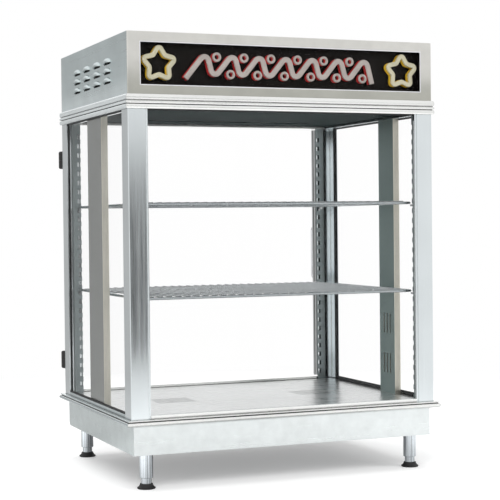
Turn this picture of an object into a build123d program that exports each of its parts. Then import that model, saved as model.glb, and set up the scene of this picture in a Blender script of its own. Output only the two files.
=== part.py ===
from build123d import *
import math
import os

os.makedirs("parts", exist_ok=True)

# Counter-top warming cabinet. Millimetres, X right, front faces -Y, Z up from the floor.

# Plan of the body and the stack of heights from the floor up
BODY_WIDTH = 711.0
BODY_DEPTH = 530.0
FOOT_HEIGHT = 10.8
INSERT_SHOWN = 12.2
LEG_SHOWN = 51.0
SKIRT_HEIGHT = 60.0
LOW_RAIL_HEIGHT = 16.0
POST_HEIGHT = 644.0
TOP_RAIL_HEIGHT = 30.0
HOOD_HEIGHT = 129.4

HALF_W = BODY_WIDTH / 2
HALF_D = BODY_DEPTH / 2
Z_LEG = FOOT_HEIGHT + INSERT_SHOWN
Z_SKIRT = Z_LEG + LEG_SHOWN
Z_LOW_RAIL = Z_SKIRT + SKIRT_HEIGHT
Z_POST = Z_LOW_RAIL + LOW_RAIL_HEIGHT
Z_TOP_RAIL = Z_POST + POST_HEIGHT
Z_HOOD = Z_TOP_RAIL + TOP_RAIL_HEIGHT
Z_TOP = Z_HOOD + HOOD_HEIGHT

# Common stock and clearances
SHEET = 1.5
MOVING_GAP = 0.4
RUNNING_FIT = 0.06
HOLE_CLEARANCE = 0.3

# Base skirt, pan and rear control panel
SKIRT_INSET = 7.0
SKIRT_FLANGE = 16.0
REAR_CORNER_RADIUS = 11.0
PAN_RECESS = 2.0
PAN_SLOT_LENGTH = 70.0
PAN_SLOT_WIDTH = 5.0
PAN_SLOT_PITCH = 11.0
PAN_SLOT_COUNT = 7

# Legs: fixed tube, sliding insert and rubber foot
LEG_INSET_X = 42.5
LEG_INSET_Y = 37.0
LEG_DIAMETER = 28.6
LEG_WALL = 1.5
LEG_COLLAR = 15.0
LEG_LIP = 1.2
LEG_HEAD = 3.0
INSERT_DIAMETER = 22.0
INSERT_ABOVE = 38.0
INSERT_STUB_DIAMETER = 13.0
INSERT_STUB_DEPTH = 8.0
FOOT_DIAMETER = 38.6
FOOT_TOP_DIAMETER = 27.0
FOOT_RIM = 3.0
FOOT_BEVEL = 1.0
FOOT_FLARE_IN = 1.2
FOOT_FLARE_UP = 3.4
STUD_DIAMETER = 10.0
STUD_HEIGHT = 9.0
NUT_FLATS = 16.0
NUT_HEIGHT = 6.0

# Lower rail: body under the posts, moulded nose and glazing upstand
LOW_RAIL_INNER = 13.0
LOW_NOSE_REACH = 12.0
UPSTAND_HEIGHT = 7.5
# Each point of the nose: setback from its foremost line, drop from the rail's top
LOW_NOSE_POINTS = (
    (4.0, 0.6), (2.6, 1.6), (2.8, 2.8), (5.0, 3.9), (2.2, 5.0), (0.0, 8.6), (3.0, 12.6),
)
LOW_TOE = (5.0, 13.4)

# Upper rail: hollow bar with a ledge that carries the ceiling
TOP_RAIL_PROUD = 4.6
TOP_RAIL_INNER = 20.5
TOP_RAIL_WALL = 2.0
LEDGE_REACH = 5.0
LEDGE_HEIGHT = 6.0
UPPER_GROOVE_RADIUS = 1.5
UPPER_GROOVE_OFFSET = 0.9
LOWER_GROOVE_RADIUS = 1.3
LOWER_GROOVE_OFFSET = 0.0
WAIST_DEPTH = 1.9
UPPER_GROOVE_DROP = 12.6
LOWER_GROOVE_DROP = 19.9

# Corner posts, angle section with a stepped bead along the front and rear flanges
POST_FACE = 43.0
POST_RETURN = 43.0
POST_WALL = 3.0
BEAD_STRIP = 5.5
BEAD_STEP = 0.8
BEAD_RADIUS = 1.5
POST_CORNER_RADIUS = 1.5

# Glazing
GLASS = 3.2
GASKET_LIP = 1.0
GLASS_LAP = 7.5
GASKET_SHOWN = 3.0

# Deck and warm-air risers
DECK_INSET = 9.0
DECK_SLOT_LENGTH = 90.0
DECK_SLOT_WIDTH = 5.0
DECK_SLOT_PITCH = 16.0
DECK_SLOT_COUNT = 5
RISER_WIDTH = 15.0
LEFT_RISER_FRONT = -44.0
LEFT_RISER_DEPTH = 110.0
RIGHT_RISER_FRONT = -124.0
RIGHT_RISER_DEPTH = 74.0
RISER_WALL = 1.5
RISER_GROOVE = 0.7
RISER_GROOVE_COUNT = 4
RISER_VENT_LENGTH = 46.0
RISER_VENT_WIDTH = 5.0
RISER_VENT_PITCH_Y = 15.0
RISER_VENT_PITCH_Z = 94.0
RISER_VENT_ROWS = 2
FIRST_VENT = 70.5

# Slotted standards and the clips that hook into them
STANDARD_INSET = -1.0
STANDARD_WIDTH = 20.0
STANDARD_DEPTH = 6.0
STANDARD_WALL = 1.5
SLOT_PITCH = 22.0
SLOT_HEIGHT = 11.0
SLOT_WIDTH = 4.0
SLOT_DEPTH = 3.0
FIRST_SLOT = 20.2
CLIP_COLUMN_INSET = 5.0
LOWER_SHELF_SLOT = 10
UPPER_SHELF_SLOT = 19
CLIP_WIDTH = 3.0
CLIP_HEIGHT = 9.0
CLIP_HOOK = 2.0

# Wire shelves
FRAME_WIRE = 6.0
CROSS_WIRE = 5.0
ROD_WIRE = 3.2
ROD_PITCH = 20.4
SHELF_EDGE_GAP = 10.8
SHELF_CORNER_RADIUS = 12.0
CROSS_WIRE_SPACING = 162.0

# Hood
HOOD_FACE = 2.0
HOOD_CORNER_RADIUS = 1.8
SIGN_END_MARGIN = 29.0
SIGN_TOP_MARGIN = 22.0
SIGN_BOTTOM_MARGIN = 20.3
LOUVRE_LENGTH = 52.0
LOUVRE_HEIGHT = 10.5
LOUVRE_REACH = 6.5
LOUVRE_SLIT = 3.5
LOUVRE_SKIN = 1.0
LOUVRE_PITCH_Y = 80.5
LOUVRE_PITCH_Z = 20.6
LOUVRE_COLUMNS = 4
LOUVRE_ROWS = 3
LOWEST_LOUVRE = 36.3
CEILING_GAP = 0.5
LAMP_SLOT_WIDTH = 26.0
LAMP_LENGTH = 520.0
LAMP_TUBE = 16.0
LAMP_CAP = 22.0
LAMP_FRONT = -190.0
LAMP_REAR = 150.0

# Illuminated sign
SIGN_LAP = 8.0
SIGN_WINDOW = 2.5
SIGN_CAVITY = 15.0
BACKBOARD = 2.0
SIGN_TUBE = 11.5
SIGN_STAND_OFF = 3.0
WAVE_STAR_GAP = 66.0
WAVE_COUNT = 7
WAVE_HEIGHT = 58.0
WAVE_SLANT = 16.0
WAVE_BEND_RADIUS = 9.5
RING_RADIUS = 7.5
RING_TUBE = 5.0
RING_DROP = 0.62
PEG_DIAMETER = 3.0
STAR_END_GAP = 42.5
STAR_POINTS = 5
STAR_POINT_RADIUS = 39.0
STAR_VALLEY_RADIUS = 22.0
STAR_TUBE = 10.0
STAR_BEND_RADIUS = 5.5
POWER_SUPPLY_SIZE = (150.0, 60.0, 38.0)

# Rear door, hinges, handle and catch
DOOR_GAP = 3.0
DOOR_THICKNESS = 20.0
DOOR_EDGE_INSET = 17.5
DOOR_STILE = 26.0
DOOR_LOWER_GAP = 2.5
DOOR_UPPER_GAP = 2.0
DOOR_GLASS = 5.0
DOOR_GLASS_GROOVE = 7.0
HINGE_RADIUS = 8.0
HINGE_HEIGHT = 42.0
HINGE_OFFSET = 14.0
HINGE_DROP = 81.0
HINGE_RISE = 70.0
HINGE_PLATE = 3.0
HINGE_PIN = 6.0
HINGE_ROUNDING = 4.0
HINGE_ARM_INSET = 1.0
HANDLE_DIAMETER = 10.0
HANDLE_LENGTH = 130.0
HANDLE_REACH = 30.0
CATCH_WIDTH = 16.0
CATCH_LENGTH = 60.0

# Air mover and heater in the base
BLOWER_X = 0.0
BLOWER_Y = -20.0
BLOWER_RADIUS = 62.0
BLOWER_HEIGHT = 44.0
BLOWER_WALL = 1.5
BLOWER_INLET_RADIUS = 30.0
WHEEL_RADIUS = 50.0
WHEEL_HEIGHT = 30.0
WHEEL_BLADES = 22
BLADE_LENGTH = 13.0
BLADE_THICKNESS = 1.2
BLADE_ANGLE = 28.0
BLADE_RIM_GAP = 1.0
WHEEL_HUB_RADIUS = 9.0
MOTOR_RADIUS = 27.0
MOTOR_HEIGHT = 20.0
MOTOR_SHAFT = 6.0
OUTLET_WIDTH = 58.0
OUTLET_LENGTH = 150.0
HEATER_ROD = 6.0
HEATER_MARGIN = 8.0
HEATER_PASSES = 4
HEATER_PITCH = 12.0
HEATER_BEND = 5.95

# Controls on the rear of the base
PANEL_CENTRE_UP = 30.0
KNOB_X = 120.0
KNOB_RADIUS = 17.0
KNOB_DEPTH = 15.0
KNOB_ROUNDING = 2.0
POINTER_WIDTH = 2.4
POINTER_DEPTH = 1.0
POINTER_START = 3.0
SPINDLE = 6.0
THERMOSTAT_SIZE = (36.0, 28.0, 34.0)
BUSHING_RADIUS = 5.0
BUSHING_LENGTH = 4.0
ROCKER_RADIUS = 10.0
ROCKER_WIDTH = 13.0
ROCKER_TILT = 10.0
ROCKER_RIDGE = 4.5
HEAT_SWITCH_X = 190.0
LIGHT_SWITCH_X = 225.0
SWITCH_FRAME = (21.0, 29.0)
SWITCH_FRAME_THICKNESS = 2.0
SWITCH_LIP = 2.0
SWITCH_BODY_DEPTH = 24.0
INLET_INSET = 125.5
INLET_RADIUS = 12.0
INLET_STEM_RADIUS = 9.0
INLET_ROUNDING = 2.5
INLET_BORE_RADIUS = 4.5
INLET_LENGTH = 22.0
PANEL_CLEARANCE = 1.0
SCREW_HEAD = 7.0
SCREW_HEAD_HEIGHT = 2.45
SCREW_ROUNDING = 1.5
SCREW_SLOT = (4.2, 2.1, 1.0)
SCREW_SHANK = 4.0
SCREW_LENGTH = 8.0
SCREW_INSET = 11.0

# Derived planes
DECK_TOP = Z_POST + SHEET
SKIRT_X = HALF_W - SKIRT_INSET
SKIRT_Y = HALF_D - SKIRT_INSET
UPSTAND_TOP = Z_POST + UPSTAND_HEIGHT
GLASS_INNER = POST_WALL + GASKET_LIP + GLASS
GASKET_INNER = GLASS_INNER + GASKET_LIP
RISER_OUTER_X = HALF_W - GASKET_INNER
PAN_TOP = Z_SKIRT + PAN_RECESS + SHEET
DOOR_INNER_Y = HALF_D + DOOR_GAP
DOOR_OUTER_Y = DOOR_INNER_Y + DOOR_THICKNESS
DOOR_HALF = HALF_W - DOOR_EDGE_INSET
DOOR_LOW = UPSTAND_TOP + DOOR_LOWER_GAP
DOOR_HIGH = Z_TOP_RAIL - DOOR_UPPER_GAP
HINGE_X = -(DOOR_HALF + HINGE_OFFSET)
HINGE_Y = (DOOR_INNER_Y + DOOR_OUTER_Y) / 2 + HINGE_PLATE
REAR_EXTENT = DOOR_OUTER_Y + HANDLE_REACH
FRONT_EXTENT = HALF_D + LOW_NOSE_REACH
ORIGIN_SHIFT = (FRONT_EXTENT - REAR_EXTENT) / 2
CLIP_X = HALF_W - POST_FACE + CLIP_COLUMN_INSET
INLET_X = INLET_INSET - HALF_W
FRONT_STANDARD_FACE = HALF_D - GASKET_INNER - STANDARD_DEPTH
REAR_STANDARD_FACE = HALF_D - POST_WALL - STANDARD_DEPTH

# Each side: turn about Z from the front, half length along it, distance of its face, flange there
SIDES = {
    "front": (0, HALF_W, HALF_D, POST_FACE),
    "right": (90, HALF_D, HALF_W, POST_RETURN),
    "rear": (180, HALF_W, HALF_D, POST_FACE),
    "left": (-90, HALF_D, HALF_W, POST_RETURN),
}
CORNERS = {
    "front_left": (-1, -1),
    "front_right": (1, -1),
    "rear_left": (-1, 1),
    "rear_right": (1, 1),
}


def save(name, *solids):
    """Write one node, moved so that the origin is under the middle of the whole object."""
    placed = [Pos(0, ORIGIN_SHIFT, 0) * solid for solid in solids]
    shape = placed[0] if len(placed) == 1 else Compound(children=placed)
    export_step(shape, f"parts/{name}.step")


def block(x, y, z):
    """Box from its low and high limits along each axis."""
    centre = Pos((x[0] + x[1]) / 2, (y[0] + y[1]) / 2, (z[0] + z[1]) / 2)
    return centre * Box(x[1] - x[0], y[1] - y[0], z[1] - z[0])


def post_cylinder(x, y, low, high, radius):
    """Upright cylinder between two heights."""
    return Pos(x, y, (low + high) / 2) * Cylinder(radius, high - low)


def rod(start, end, diameter):
    """Round bar from one point to another."""
    axis = Vector(*end) - Vector(*start)
    plane = Plane(origin=start, z_dir=axis)
    return extrude(plane * Circle(diameter / 2), amount=axis.length)


def tube_along(path, diameter):
    """Solid round bar swept along a path of straights and tangent arcs."""
    return sweep(Plane(path @ 0, z_dir=path % 0) * Circle(diameter / 2), path=path)


def in_quadrant(shape, sign_x, sign_y):
    """Copy of a rear-right corner piece, mirrored to another corner."""
    if sign_x < 0:
        shape = mirror(shape, about=Plane.YZ)
    if sign_y < 0:
        shape = mirror(shape, about=Plane.XZ)
    return shape


def mitred_rail(outline, half_length, face, base_z):
    """Front rail from an outline of (outward, up) points, with both ends mitred at 45 degrees."""
    reach = POST_FACE
    start = Plane(
        origin=(half_length + reach, -face, base_z), x_dir=(0, -1, 0), z_dir=(-1, 0, 0)
    )
    bar = extrude(start * outline, amount=2 * (half_length + reach))
    wedge_outline = make_face(Polyline(
        (-half_length - reach, -face - reach),
        (half_length + reach, -face - reach),
        (half_length - reach, -face + reach),
        (-half_length + reach, -face + reach),
        close=True,
    ))
    return bar & extrude(Pos(0, 0, base_z) * wedge_outline, amount=HOOD_HEIGHT)


def save_rails(name, rails):
    """Front and rear rails as nodes of their own, and the pair of identical side rails as one."""
    save(f"{name}_front", rails["front"])
    save(f"{name}_rear", rails["rear"])
    save(f"{name}_sides", rails["left"], rails["right"])


def low_rail_outline():
    """Bearing body, a small bead, a groove, a bull nose and a toe that slopes to the skirt."""
    height = LOW_RAIL_HEIGHT
    nose = [(LOW_NOSE_REACH - setback, height - drop) for setback, drop in LOW_NOSE_POINTS]
    toe = (LOW_NOSE_REACH - LOW_TOE[0], height - LOW_TOE[1])
    edge = [
        Polyline((-SKIRT_INSET, 0), (-LOW_RAIL_INNER, 0), (-LOW_RAIL_INNER, height), (0, height),
                 nose[0]),
        Polyline(nose[-1], toe, (-SKIRT_INSET, 0)),
    ]
    for first in range(0, len(nose) - 1, 2):
        edge.append(ThreePointArc(nose[first], nose[first + 1], nose[first + 2]))
    return make_face(edge)


def bottom_rails():
    """Four mitred lower rails, each with the upstand that covers the glass edge."""
    outline = low_rail_outline()
    rails = {}
    for side, (turn, half_length, face, flange) in SIDES.items():
        rail = mitred_rail(outline, half_length, face, Z_LOW_RAIL)
        half_opening = half_length - flange
        rail += block((-half_opening, half_opening), (-face, -face + POST_WALL),
                      (Z_POST - SHEET, UPSTAND_TOP))
        rails[side] = Rot(0, 0, turn) * rail
    save_rails("bottom_rail", rails)


def top_rail_outline():
    """Hollow bar with three convex bands outside and a ledge inside."""
    proud = TOP_RAIL_PROUD
    height = TOP_RAIL_HEIGHT
    waist = proud - WAIST_DEPTH
    upper_groove = height - UPPER_GROOVE_DROP
    lower_groove = height - LOWER_GROOVE_DROP
    edge = [
        Polyline((waist, 0), (-TOP_RAIL_INNER - LEDGE_REACH, 0),
                 (-TOP_RAIL_INNER - LEDGE_REACH, LEDGE_HEIGHT), (-TOP_RAIL_INNER, LEDGE_HEIGHT),
                 (-TOP_RAIL_INNER, height), (waist, height)),
        ThreePointArc((waist, height), (proud, (height + upper_groove) / 2),
                      (waist, upper_groove)),
        ThreePointArc((waist, upper_groove), (proud, (upper_groove + lower_groove) / 2),
                      (waist, lower_groove)),
        ThreePointArc((waist, lower_groove), (proud, lower_groove / 2), (waist, 0)),
    ]
    outline = make_face(edge)
    outline -= Pos(waist + UPPER_GROOVE_OFFSET, upper_groove) * Circle(UPPER_GROOVE_RADIUS)
    outline -= Pos(waist + LOWER_GROOVE_OFFSET, lower_groove) * Circle(LOWER_GROOVE_RADIUS)
    core_out = waist - TOP_RAIL_WALL
    core_in = -TOP_RAIL_INNER + TOP_RAIL_WALL
    core_height = height - LEDGE_HEIGHT - 2 * TOP_RAIL_WALL
    core = Pos((core_out + core_in) / 2, LEDGE_HEIGHT + TOP_RAIL_WALL + core_height / 2)
    return outline - core * Rectangle(core_out - core_in, core_height)


def top_rails():
    """Four mitred upper rails that carry the hood and the ceiling."""
    outline = top_rail_outline()
    rails = {}
    for side, (turn, half_length, face, _) in SIDES.items():
        rails[side] = Rot(0, 0, turn) * mitred_rail(outline, half_length, face, Z_TOP_RAIL)
    save_rails("top_rail", rails)


def corner_posts():
    """Four angle posts; the wide flange faces front or rear and ends in a stepped bead."""
    bead_low = HALF_W - POST_FACE
    bead_high = bead_low + BEAD_STRIP
    inner = HALF_D - POST_WALL
    outline = Polyline(
        (bead_low, inner), (bead_low, HALF_D - BEAD_STEP), (bead_high, HALF_D - BEAD_STEP),
        (bead_high, HALF_D), (HALF_W, HALF_D), (HALF_W, HALF_D - POST_RETURN),
        (HALF_W - POST_WALL, HALF_D - POST_RETURN), (HALF_W - POST_WALL, inner), close=True,
    )
    section = make_face(outline)
    outer_corner = section.vertices().sort_by(lambda v: v.X + v.Y)[-1]
    section = fillet(outer_corner, POST_CORNER_RADIUS)
    bead = Pos(bead_low + BEAD_STRIP / 2, inner + BEAD_RADIUS)
    section += bead * Circle(BEAD_RADIUS)
    post = extrude(Pos(0, 0, Z_POST) * section, amount=POST_HEIGHT)
    for corner, signs in CORNERS.items():
        save(f"post_{corner}", in_quadrant(post, *signs))


def pane_block(half_opening, face, lap, depths, lift):
    """Upright slab behind a front opening; lap widens it and lift raises its two ends."""
    half = half_opening + lap
    return block((-half, half), (-face + depths[0], -face + depths[1]),
                 (Z_POST + lift, Z_TOP_RAIL - lift))


def glazing():
    """Front and side panes, each in a rubber channel behind the posts' flanges."""
    gaskets = []
    for side in ("front", "left", "right"):
        turn, half_length, face, flange = SIDES[side]
        half_opening = half_length - flange
        shown = 0.0 if side == "front" else GASKET_SHOWN
        pane = pane_block(half_opening, face, GLASS_LAP, (GLASS_INNER - GLASS, GLASS_INNER),
                          GASKET_LIP)
        ring = pane_block(half_opening, face, GLASS_LAP + GASKET_LIP, (POST_WALL, GASKET_INNER), 0)
        window = block(
            (-half_opening + shown, half_opening - shown), (-face, -face + GASKET_INNER),
            (UPSTAND_TOP + shown, Z_TOP_RAIL - GASKET_SHOWN),
        )
        save(f"{side}_glass", Rot(0, 0, turn) * pane)
        gaskets.append(Rot(0, 0, turn) * (ring - pane - window))
    save("glass_gaskets", *gaskets)


def base_skirt():
    """Folded skirt: front and two sides, with a flange turned in all round under the rails."""
    x = SKIRT_X
    y = SKIRT_Y
    skirt = block((-x, x), (-y, y), (Z_SKIRT, Z_LOW_RAIL))
    skirt -= block((-x + SHEET, x - SHEET), (-y + SHEET, y + SHEET),
                   (Z_SKIRT - SHEET, Z_LOW_RAIL - SHEET))
    skirt -= block((-x + SKIRT_FLANGE, x - SKIRT_FLANGE), (-y + SKIRT_FLANGE, y - SKIRT_FLANGE),
                   (Z_SKIRT, Z_LOW_RAIL + SHEET))
    lowest = skirt.edges().filter_by(Axis.X).group_by(Axis.Z)[0]
    skirt = fillet(lowest.group_by(Axis.Y)[-1], REAR_CORNER_RADIUS)
    save("base_skirt", skirt)


def base_pan():
    """Floor of the base with air-intake slots under the blower and weld nuts for the legs."""
    pan = block((-SKIRT_X + SHEET, SKIRT_X - SHEET), (-SKIRT_Y + SHEET, SKIRT_Y - SHEET),
                (PAN_TOP - SHEET, PAN_TOP))
    pan = fillet(pan.edges().filter_by(Axis.Z).group_by(Axis.Y)[-1], REAR_CORNER_RADIUS)
    for index in range(PAN_SLOT_COUNT):
        offset = (index - (PAN_SLOT_COUNT - 1) / 2) * PAN_SLOT_PITCH
        pan -= Pos(BLOWER_X, BLOWER_Y + offset, PAN_TOP) * extrude(
            SlotOverall(PAN_SLOT_LENGTH, PAN_SLOT_WIDTH), amount=SHEET, both=True)
    for sign_x, sign_y in CORNERS.values():
        leg_x = sign_x * (HALF_W - LEG_INSET_X)
        leg_y = sign_y * (HALF_D - LEG_INSET_Y)
        pan += Pos(leg_x, leg_y, PAN_TOP - SHEET) * extrude(
            RegularPolygon(NUT_FLATS / 2, 6, major_radius=False), amount=SHEET + NUT_HEIGHT)
        pan -= post_cylinder(leg_x, leg_y, Z_SKIRT, PAN_TOP + NUT_HEIGHT + SHEET,
                             STUD_DIAMETER / 2)
    save("base_pan", pan)


def legs():
    """Four tube legs with studs, and in each a sliding insert on a rubber foot."""
    leg_x = HALF_W - LEG_INSET_X
    leg_y = HALF_D - LEG_INSET_Y
    pan_under = PAN_TOP - SHEET
    bore = INSERT_DIAMETER / 2 + RUNNING_FIT
    tube = post_cylinder(leg_x, leg_y, Z_LEG, pan_under, LEG_DIAMETER / 2)
    tube = fillet(tube.edges().group_by(Axis.Z)[0], LEG_LIP)
    tube -= post_cylinder(leg_x, leg_y, Z_LEG - SHEET, Z_LEG + LEG_COLLAR, bore)
    tube -= post_cylinder(leg_x, leg_y, Z_LEG + LEG_COLLAR, pan_under - LEG_HEAD,
                          LEG_DIAMETER / 2 - LEG_WALL)
    tube += post_cylinder(leg_x, leg_y, pan_under - SHEET, PAN_TOP + STUD_HEIGHT,
                          STUD_DIAMETER / 2)
    insert = post_cylinder(leg_x, leg_y, FOOT_HEIGHT, Z_LEG + INSERT_ABOVE, INSERT_DIAMETER / 2)
    insert += post_cylinder(leg_x, leg_y, FOOT_HEIGHT - INSERT_STUB_DEPTH, FOOT_HEIGHT + SHEET,
                            INSERT_STUB_DIAMETER / 2)
    rim = FOOT_DIAMETER / 2
    neck = FOOT_TOP_DIAMETER / 2
    side = [
        Polyline((neck, FOOT_HEIGHT), (0, FOOT_HEIGHT), (0, 0), (rim - FOOT_BEVEL, 0),
                 (rim, FOOT_BEVEL), (rim, FOOT_RIM)),
        ThreePointArc((rim, FOOT_RIM),
                      ((rim + neck) / 2 - FOOT_FLARE_IN, FOOT_RIM + FOOT_FLARE_UP),
                      (neck, FOOT_HEIGHT)),
    ]
    foot = Pos(leg_x, leg_y, 0) * revolve(Plane.XZ * make_face(side), axis=Axis.Z)
    foot -= post_cylinder(leg_x, leg_y, FOOT_HEIGHT - INSERT_STUB_DEPTH, FOOT_HEIGHT + SHEET,
                          INSERT_STUB_DIAMETER / 2)
    for corner, signs in CORNERS.items():
        save(f"foot_insert_{corner}", in_quadrant(insert, *signs))
        save(f"rubber_foot_{corner}", in_quadrant(foot, *signs))
    save("leg_tubes", *[in_quadrant(tube, *signs) for signs in CORNERS.values()])


def riser_span(sign):
    """Front and rear limits of the left (-1) or right (1) riser."""
    if sign < 0:
        return LEFT_RISER_FRONT, LEFT_RISER_FRONT + LEFT_RISER_DEPTH
    return RIGHT_RISER_FRONT, RIGHT_RISER_FRONT + RIGHT_RISER_DEPTH


def deck():
    """Cabinet floor on the rail bodies, slotted for return air and for the two risers."""
    half_x = HALF_W - DECK_INSET
    half_y = HALF_D - DECK_INSET
    panel = block((-half_x, half_x), (-half_y, half_y), (Z_POST, DECK_TOP))
    for index in range(DECK_SLOT_COUNT):
        for sign in (-1, 1):
            offset = (index - (DECK_SLOT_COUNT - 1) / 2) * DECK_SLOT_PITCH
            panel -= Pos(sign * half_x / 2, offset, DECK_TOP) * extrude(
                SlotOverall(DECK_SLOT_LENGTH, DECK_SLOT_WIDTH), amount=SHEET, both=True)
    for sign in (-1, 1):
        front, rear = riser_span(sign)
        outer = HALF_W - LOW_RAIL_INNER
        inner = RISER_OUTER_X - RISER_WIDTH + RISER_WALL
        hole_x = sorted((sign * inner, sign * outer))
        panel -= block(hole_x, (front + RISER_WALL, rear - RISER_WALL),
                       (Z_POST - SHEET, DECK_TOP + SHEET))
    save("deck_panel", panel)


def air_riser(sign):
    """Closed duct from the deck to the ceiling, ribbed in front, with vents facing inwards."""
    front, rear = riser_span(sign)
    outer_x = RISER_OUTER_X
    inner_x = outer_x - RISER_WIDTH
    duct = block((inner_x, outer_x), (front, rear), (DECK_TOP, Z_TOP_RAIL))
    duct -= block((inner_x + RISER_WALL, outer_x - RISER_WALL),
                  (front + RISER_WALL, rear - RISER_WALL),
                  (DECK_TOP - SHEET, Z_TOP_RAIL - RISER_WALL))
    groove_pitch = RISER_WIDTH / (RISER_GROOVE_COUNT + 1)
    for index in range(RISER_GROOVE_COUNT):
        x = inner_x + (index + 1) * groove_pitch
        duct -= block((x - RISER_GROOVE, x + RISER_GROOVE), (front - SHEET, front + RISER_GROOVE),
                      (DECK_TOP, Z_TOP_RAIL))
    columns = int((rear - front - RISER_VENT_PITCH_Y) / RISER_VENT_PITCH_Y)
    vents = []
    for row in range(RISER_VENT_ROWS):
        for column in range(columns):
            y = (front + rear) / 2 + (column - (columns - 1) / 2) * RISER_VENT_PITCH_Y
            z = DECK_TOP + FIRST_VENT + row * RISER_VENT_PITCH_Z
            vents.append(block((inner_x - SHEET, inner_x + RISER_WALL),
                               (y - RISER_VENT_WIDTH / 2, y + RISER_VENT_WIDTH / 2),
                               (z - RISER_VENT_LENGTH / 2, z + RISER_VENT_LENGTH / 2)))
    duct -= vents
    return mirror(duct, about=Plane.YZ) if sign < 0 else duct


def slot_centre(index):
    """Height of one standard's slot, counted up from the deck."""
    return DECK_TOP + FIRST_SLOT + index * SLOT_PITCH


def standard(face, back):
    """Channel behind a rear-right corner flange, with a row of notches in its inner edge."""
    low_x = HALF_W - POST_FACE + STANDARD_INSET
    high_x = low_x + STANDARD_WIDTH
    channel = block((low_x, high_x), (face, back), (DECK_TOP, Z_TOP_RAIL))
    channel -= block((low_x + STANDARD_WALL, high_x - STANDARD_WALL), (face + STANDARD_WALL, back),
                     (DECK_TOP, Z_TOP_RAIL))
    count = int((POST_HEIGHT - 2 * FIRST_SLOT) / SLOT_PITCH) + 1
    slots = []
    for index in range(count):
        z = slot_centre(index)
        slots.append(block((low_x - SHEET, CLIP_X + SLOT_WIDTH / 2),
                           (face - SHEET, face + SLOT_DEPTH),
                           (z - SLOT_HEIGHT / 2, z + SLOT_HEIGHT / 2)))
    return channel - slots


def shelf_clip(face, slot):
    """Tab that passes through one notch, hooks down behind the web and reaches under the shelf."""
    x = (CLIP_X - CLIP_WIDTH / 2, CLIP_X + CLIP_WIDTH / 2)
    low = slot_centre(slot) - SLOT_HEIGHT / 2
    reach = SHELF_EDGE_GAP + FRAME_WIRE
    tab = block(x, (face - reach, face + STANDARD_WALL + CLIP_HOOK), (low, low + CLIP_HEIGHT))
    relief = block(x, (face - reach, face - SHEET), (low, low + CLIP_HEIGHT / 2))
    hook = block(x, (face + STANDARD_WALL, face + STANDARD_WALL + CLIP_HOOK),
                 (low - CLIP_HOOK, low + CLIP_HEIGHT))
    return tab - relief + hook


def standards_and_clips():
    """A standard in every corner and two clips in each."""
    faces = {1: REAR_STANDARD_FACE, -1: FRONT_STANDARD_FACE}
    standards = []
    clips = []
    for sign_x, sign_y in CORNERS.values():
        face = faces[sign_y]
        standards.append(in_quadrant(standard(face, face + STANDARD_DEPTH), sign_x, sign_y))
        for slot in (LOWER_SHELF_SLOT, UPPER_SHELF_SLOT):
            clips.append(in_quadrant(shelf_clip(face, slot), sign_x, sign_y))
    save("shelf_standards", *standards)
    save("shelf_clips", *clips)


def wire_shelf(slot):
    """Welded shelf: a bent frame wire, cross wires and rods that run front to back."""
    clip_top = slot_centre(slot) - SLOT_HEIGHT / 2 + CLIP_HEIGHT
    frame_z = clip_top + MOVING_GAP + FRAME_WIRE / 2
    half_x = CLIP_X
    front = -FRONT_STANDARD_FACE + SHELF_EDGE_GAP + FRAME_WIRE / 2
    rear = REAR_STANDARD_FACE - SHELF_EDGE_GAP - FRAME_WIRE / 2
    frame_path = Pos(0, (front + rear) / 2, frame_z) * RectangleRounded(
        2 * half_x, rear - front, SHELF_CORNER_RADIUS).wire()
    start = frame_path @ 0
    shelf = sweep(Plane(start, z_dir=frame_path % 0) * Circle(FRAME_WIRE / 2), path=frame_path)
    for y in (-CROSS_WIRE_SPACING / 2, CROSS_WIRE_SPACING / 2):
        shelf += rod((-half_x, y, frame_z), (half_x, y, frame_z), CROSS_WIRE)
    rod_z = frame_z + FRAME_WIRE / 2
    rod_count = int((2 * half_x - SHELF_CORNER_RADIUS) / ROD_PITCH)
    rods = []
    for index in range(rod_count):
        x = (index - (rod_count - 1) / 2) * ROD_PITCH
        rods.append(rod((x, front, rod_z), (x, rear, rod_z), ROD_WIRE))
    return shelf.fuse(*rods)


def louvre_dome(skin, lowest, innermost):
    """Half of an oblong dome on the right side of the hood, smaller all round by a skin."""
    sizes = (LOUVRE_REACH - skin, LOUVRE_LENGTH / 2 - skin, LOUVRE_HEIGHT - skin)
    dome = Pos(HALF_W, 0, 0) * scale(Sphere(1), by=sizes)
    return dome & block((HALF_W - innermost, HALF_W + LOUVRE_REACH),
                        (-LOUVRE_LENGTH, LOUVRE_LENGTH), (-lowest, LOUVRE_HEIGHT))


def hood_shell():
    """Folded top and sides of the hood, with pressed louvres on both sides."""
    y = (-HALF_D + HOOD_FACE, HALF_D - HOOD_FACE)
    shell = block((-HALF_W, HALF_W), y, (Z_HOOD, Z_TOP))
    shell -= block((-HALF_W + SHEET, HALF_W - SHEET), y, (Z_HOOD, Z_TOP - SHEET))
    outer = louvre_dome(0, 0, SHEET / 2)
    inner = louvre_dome(LOUVRE_SKIN, LOUVRE_SLIT, 2 * SHEET)
    scoops = []
    slots = []
    for row in range(LOUVRE_ROWS):
        for column in range(LOUVRE_COLUMNS):
            place = Pos(0, (column - (LOUVRE_COLUMNS - 1) / 2) * LOUVRE_PITCH_Y,
                        Z_HOOD + LOWEST_LOUVRE + row * LOUVRE_PITCH_Z)
            for collected, shape in ((scoops, outer), (slots, inner)):
                placed = place * shape
                collected += [placed, mirror(placed, about=Plane.YZ)]
    save("hood_shell", shell.fuse(*scoops) - slots)


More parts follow.
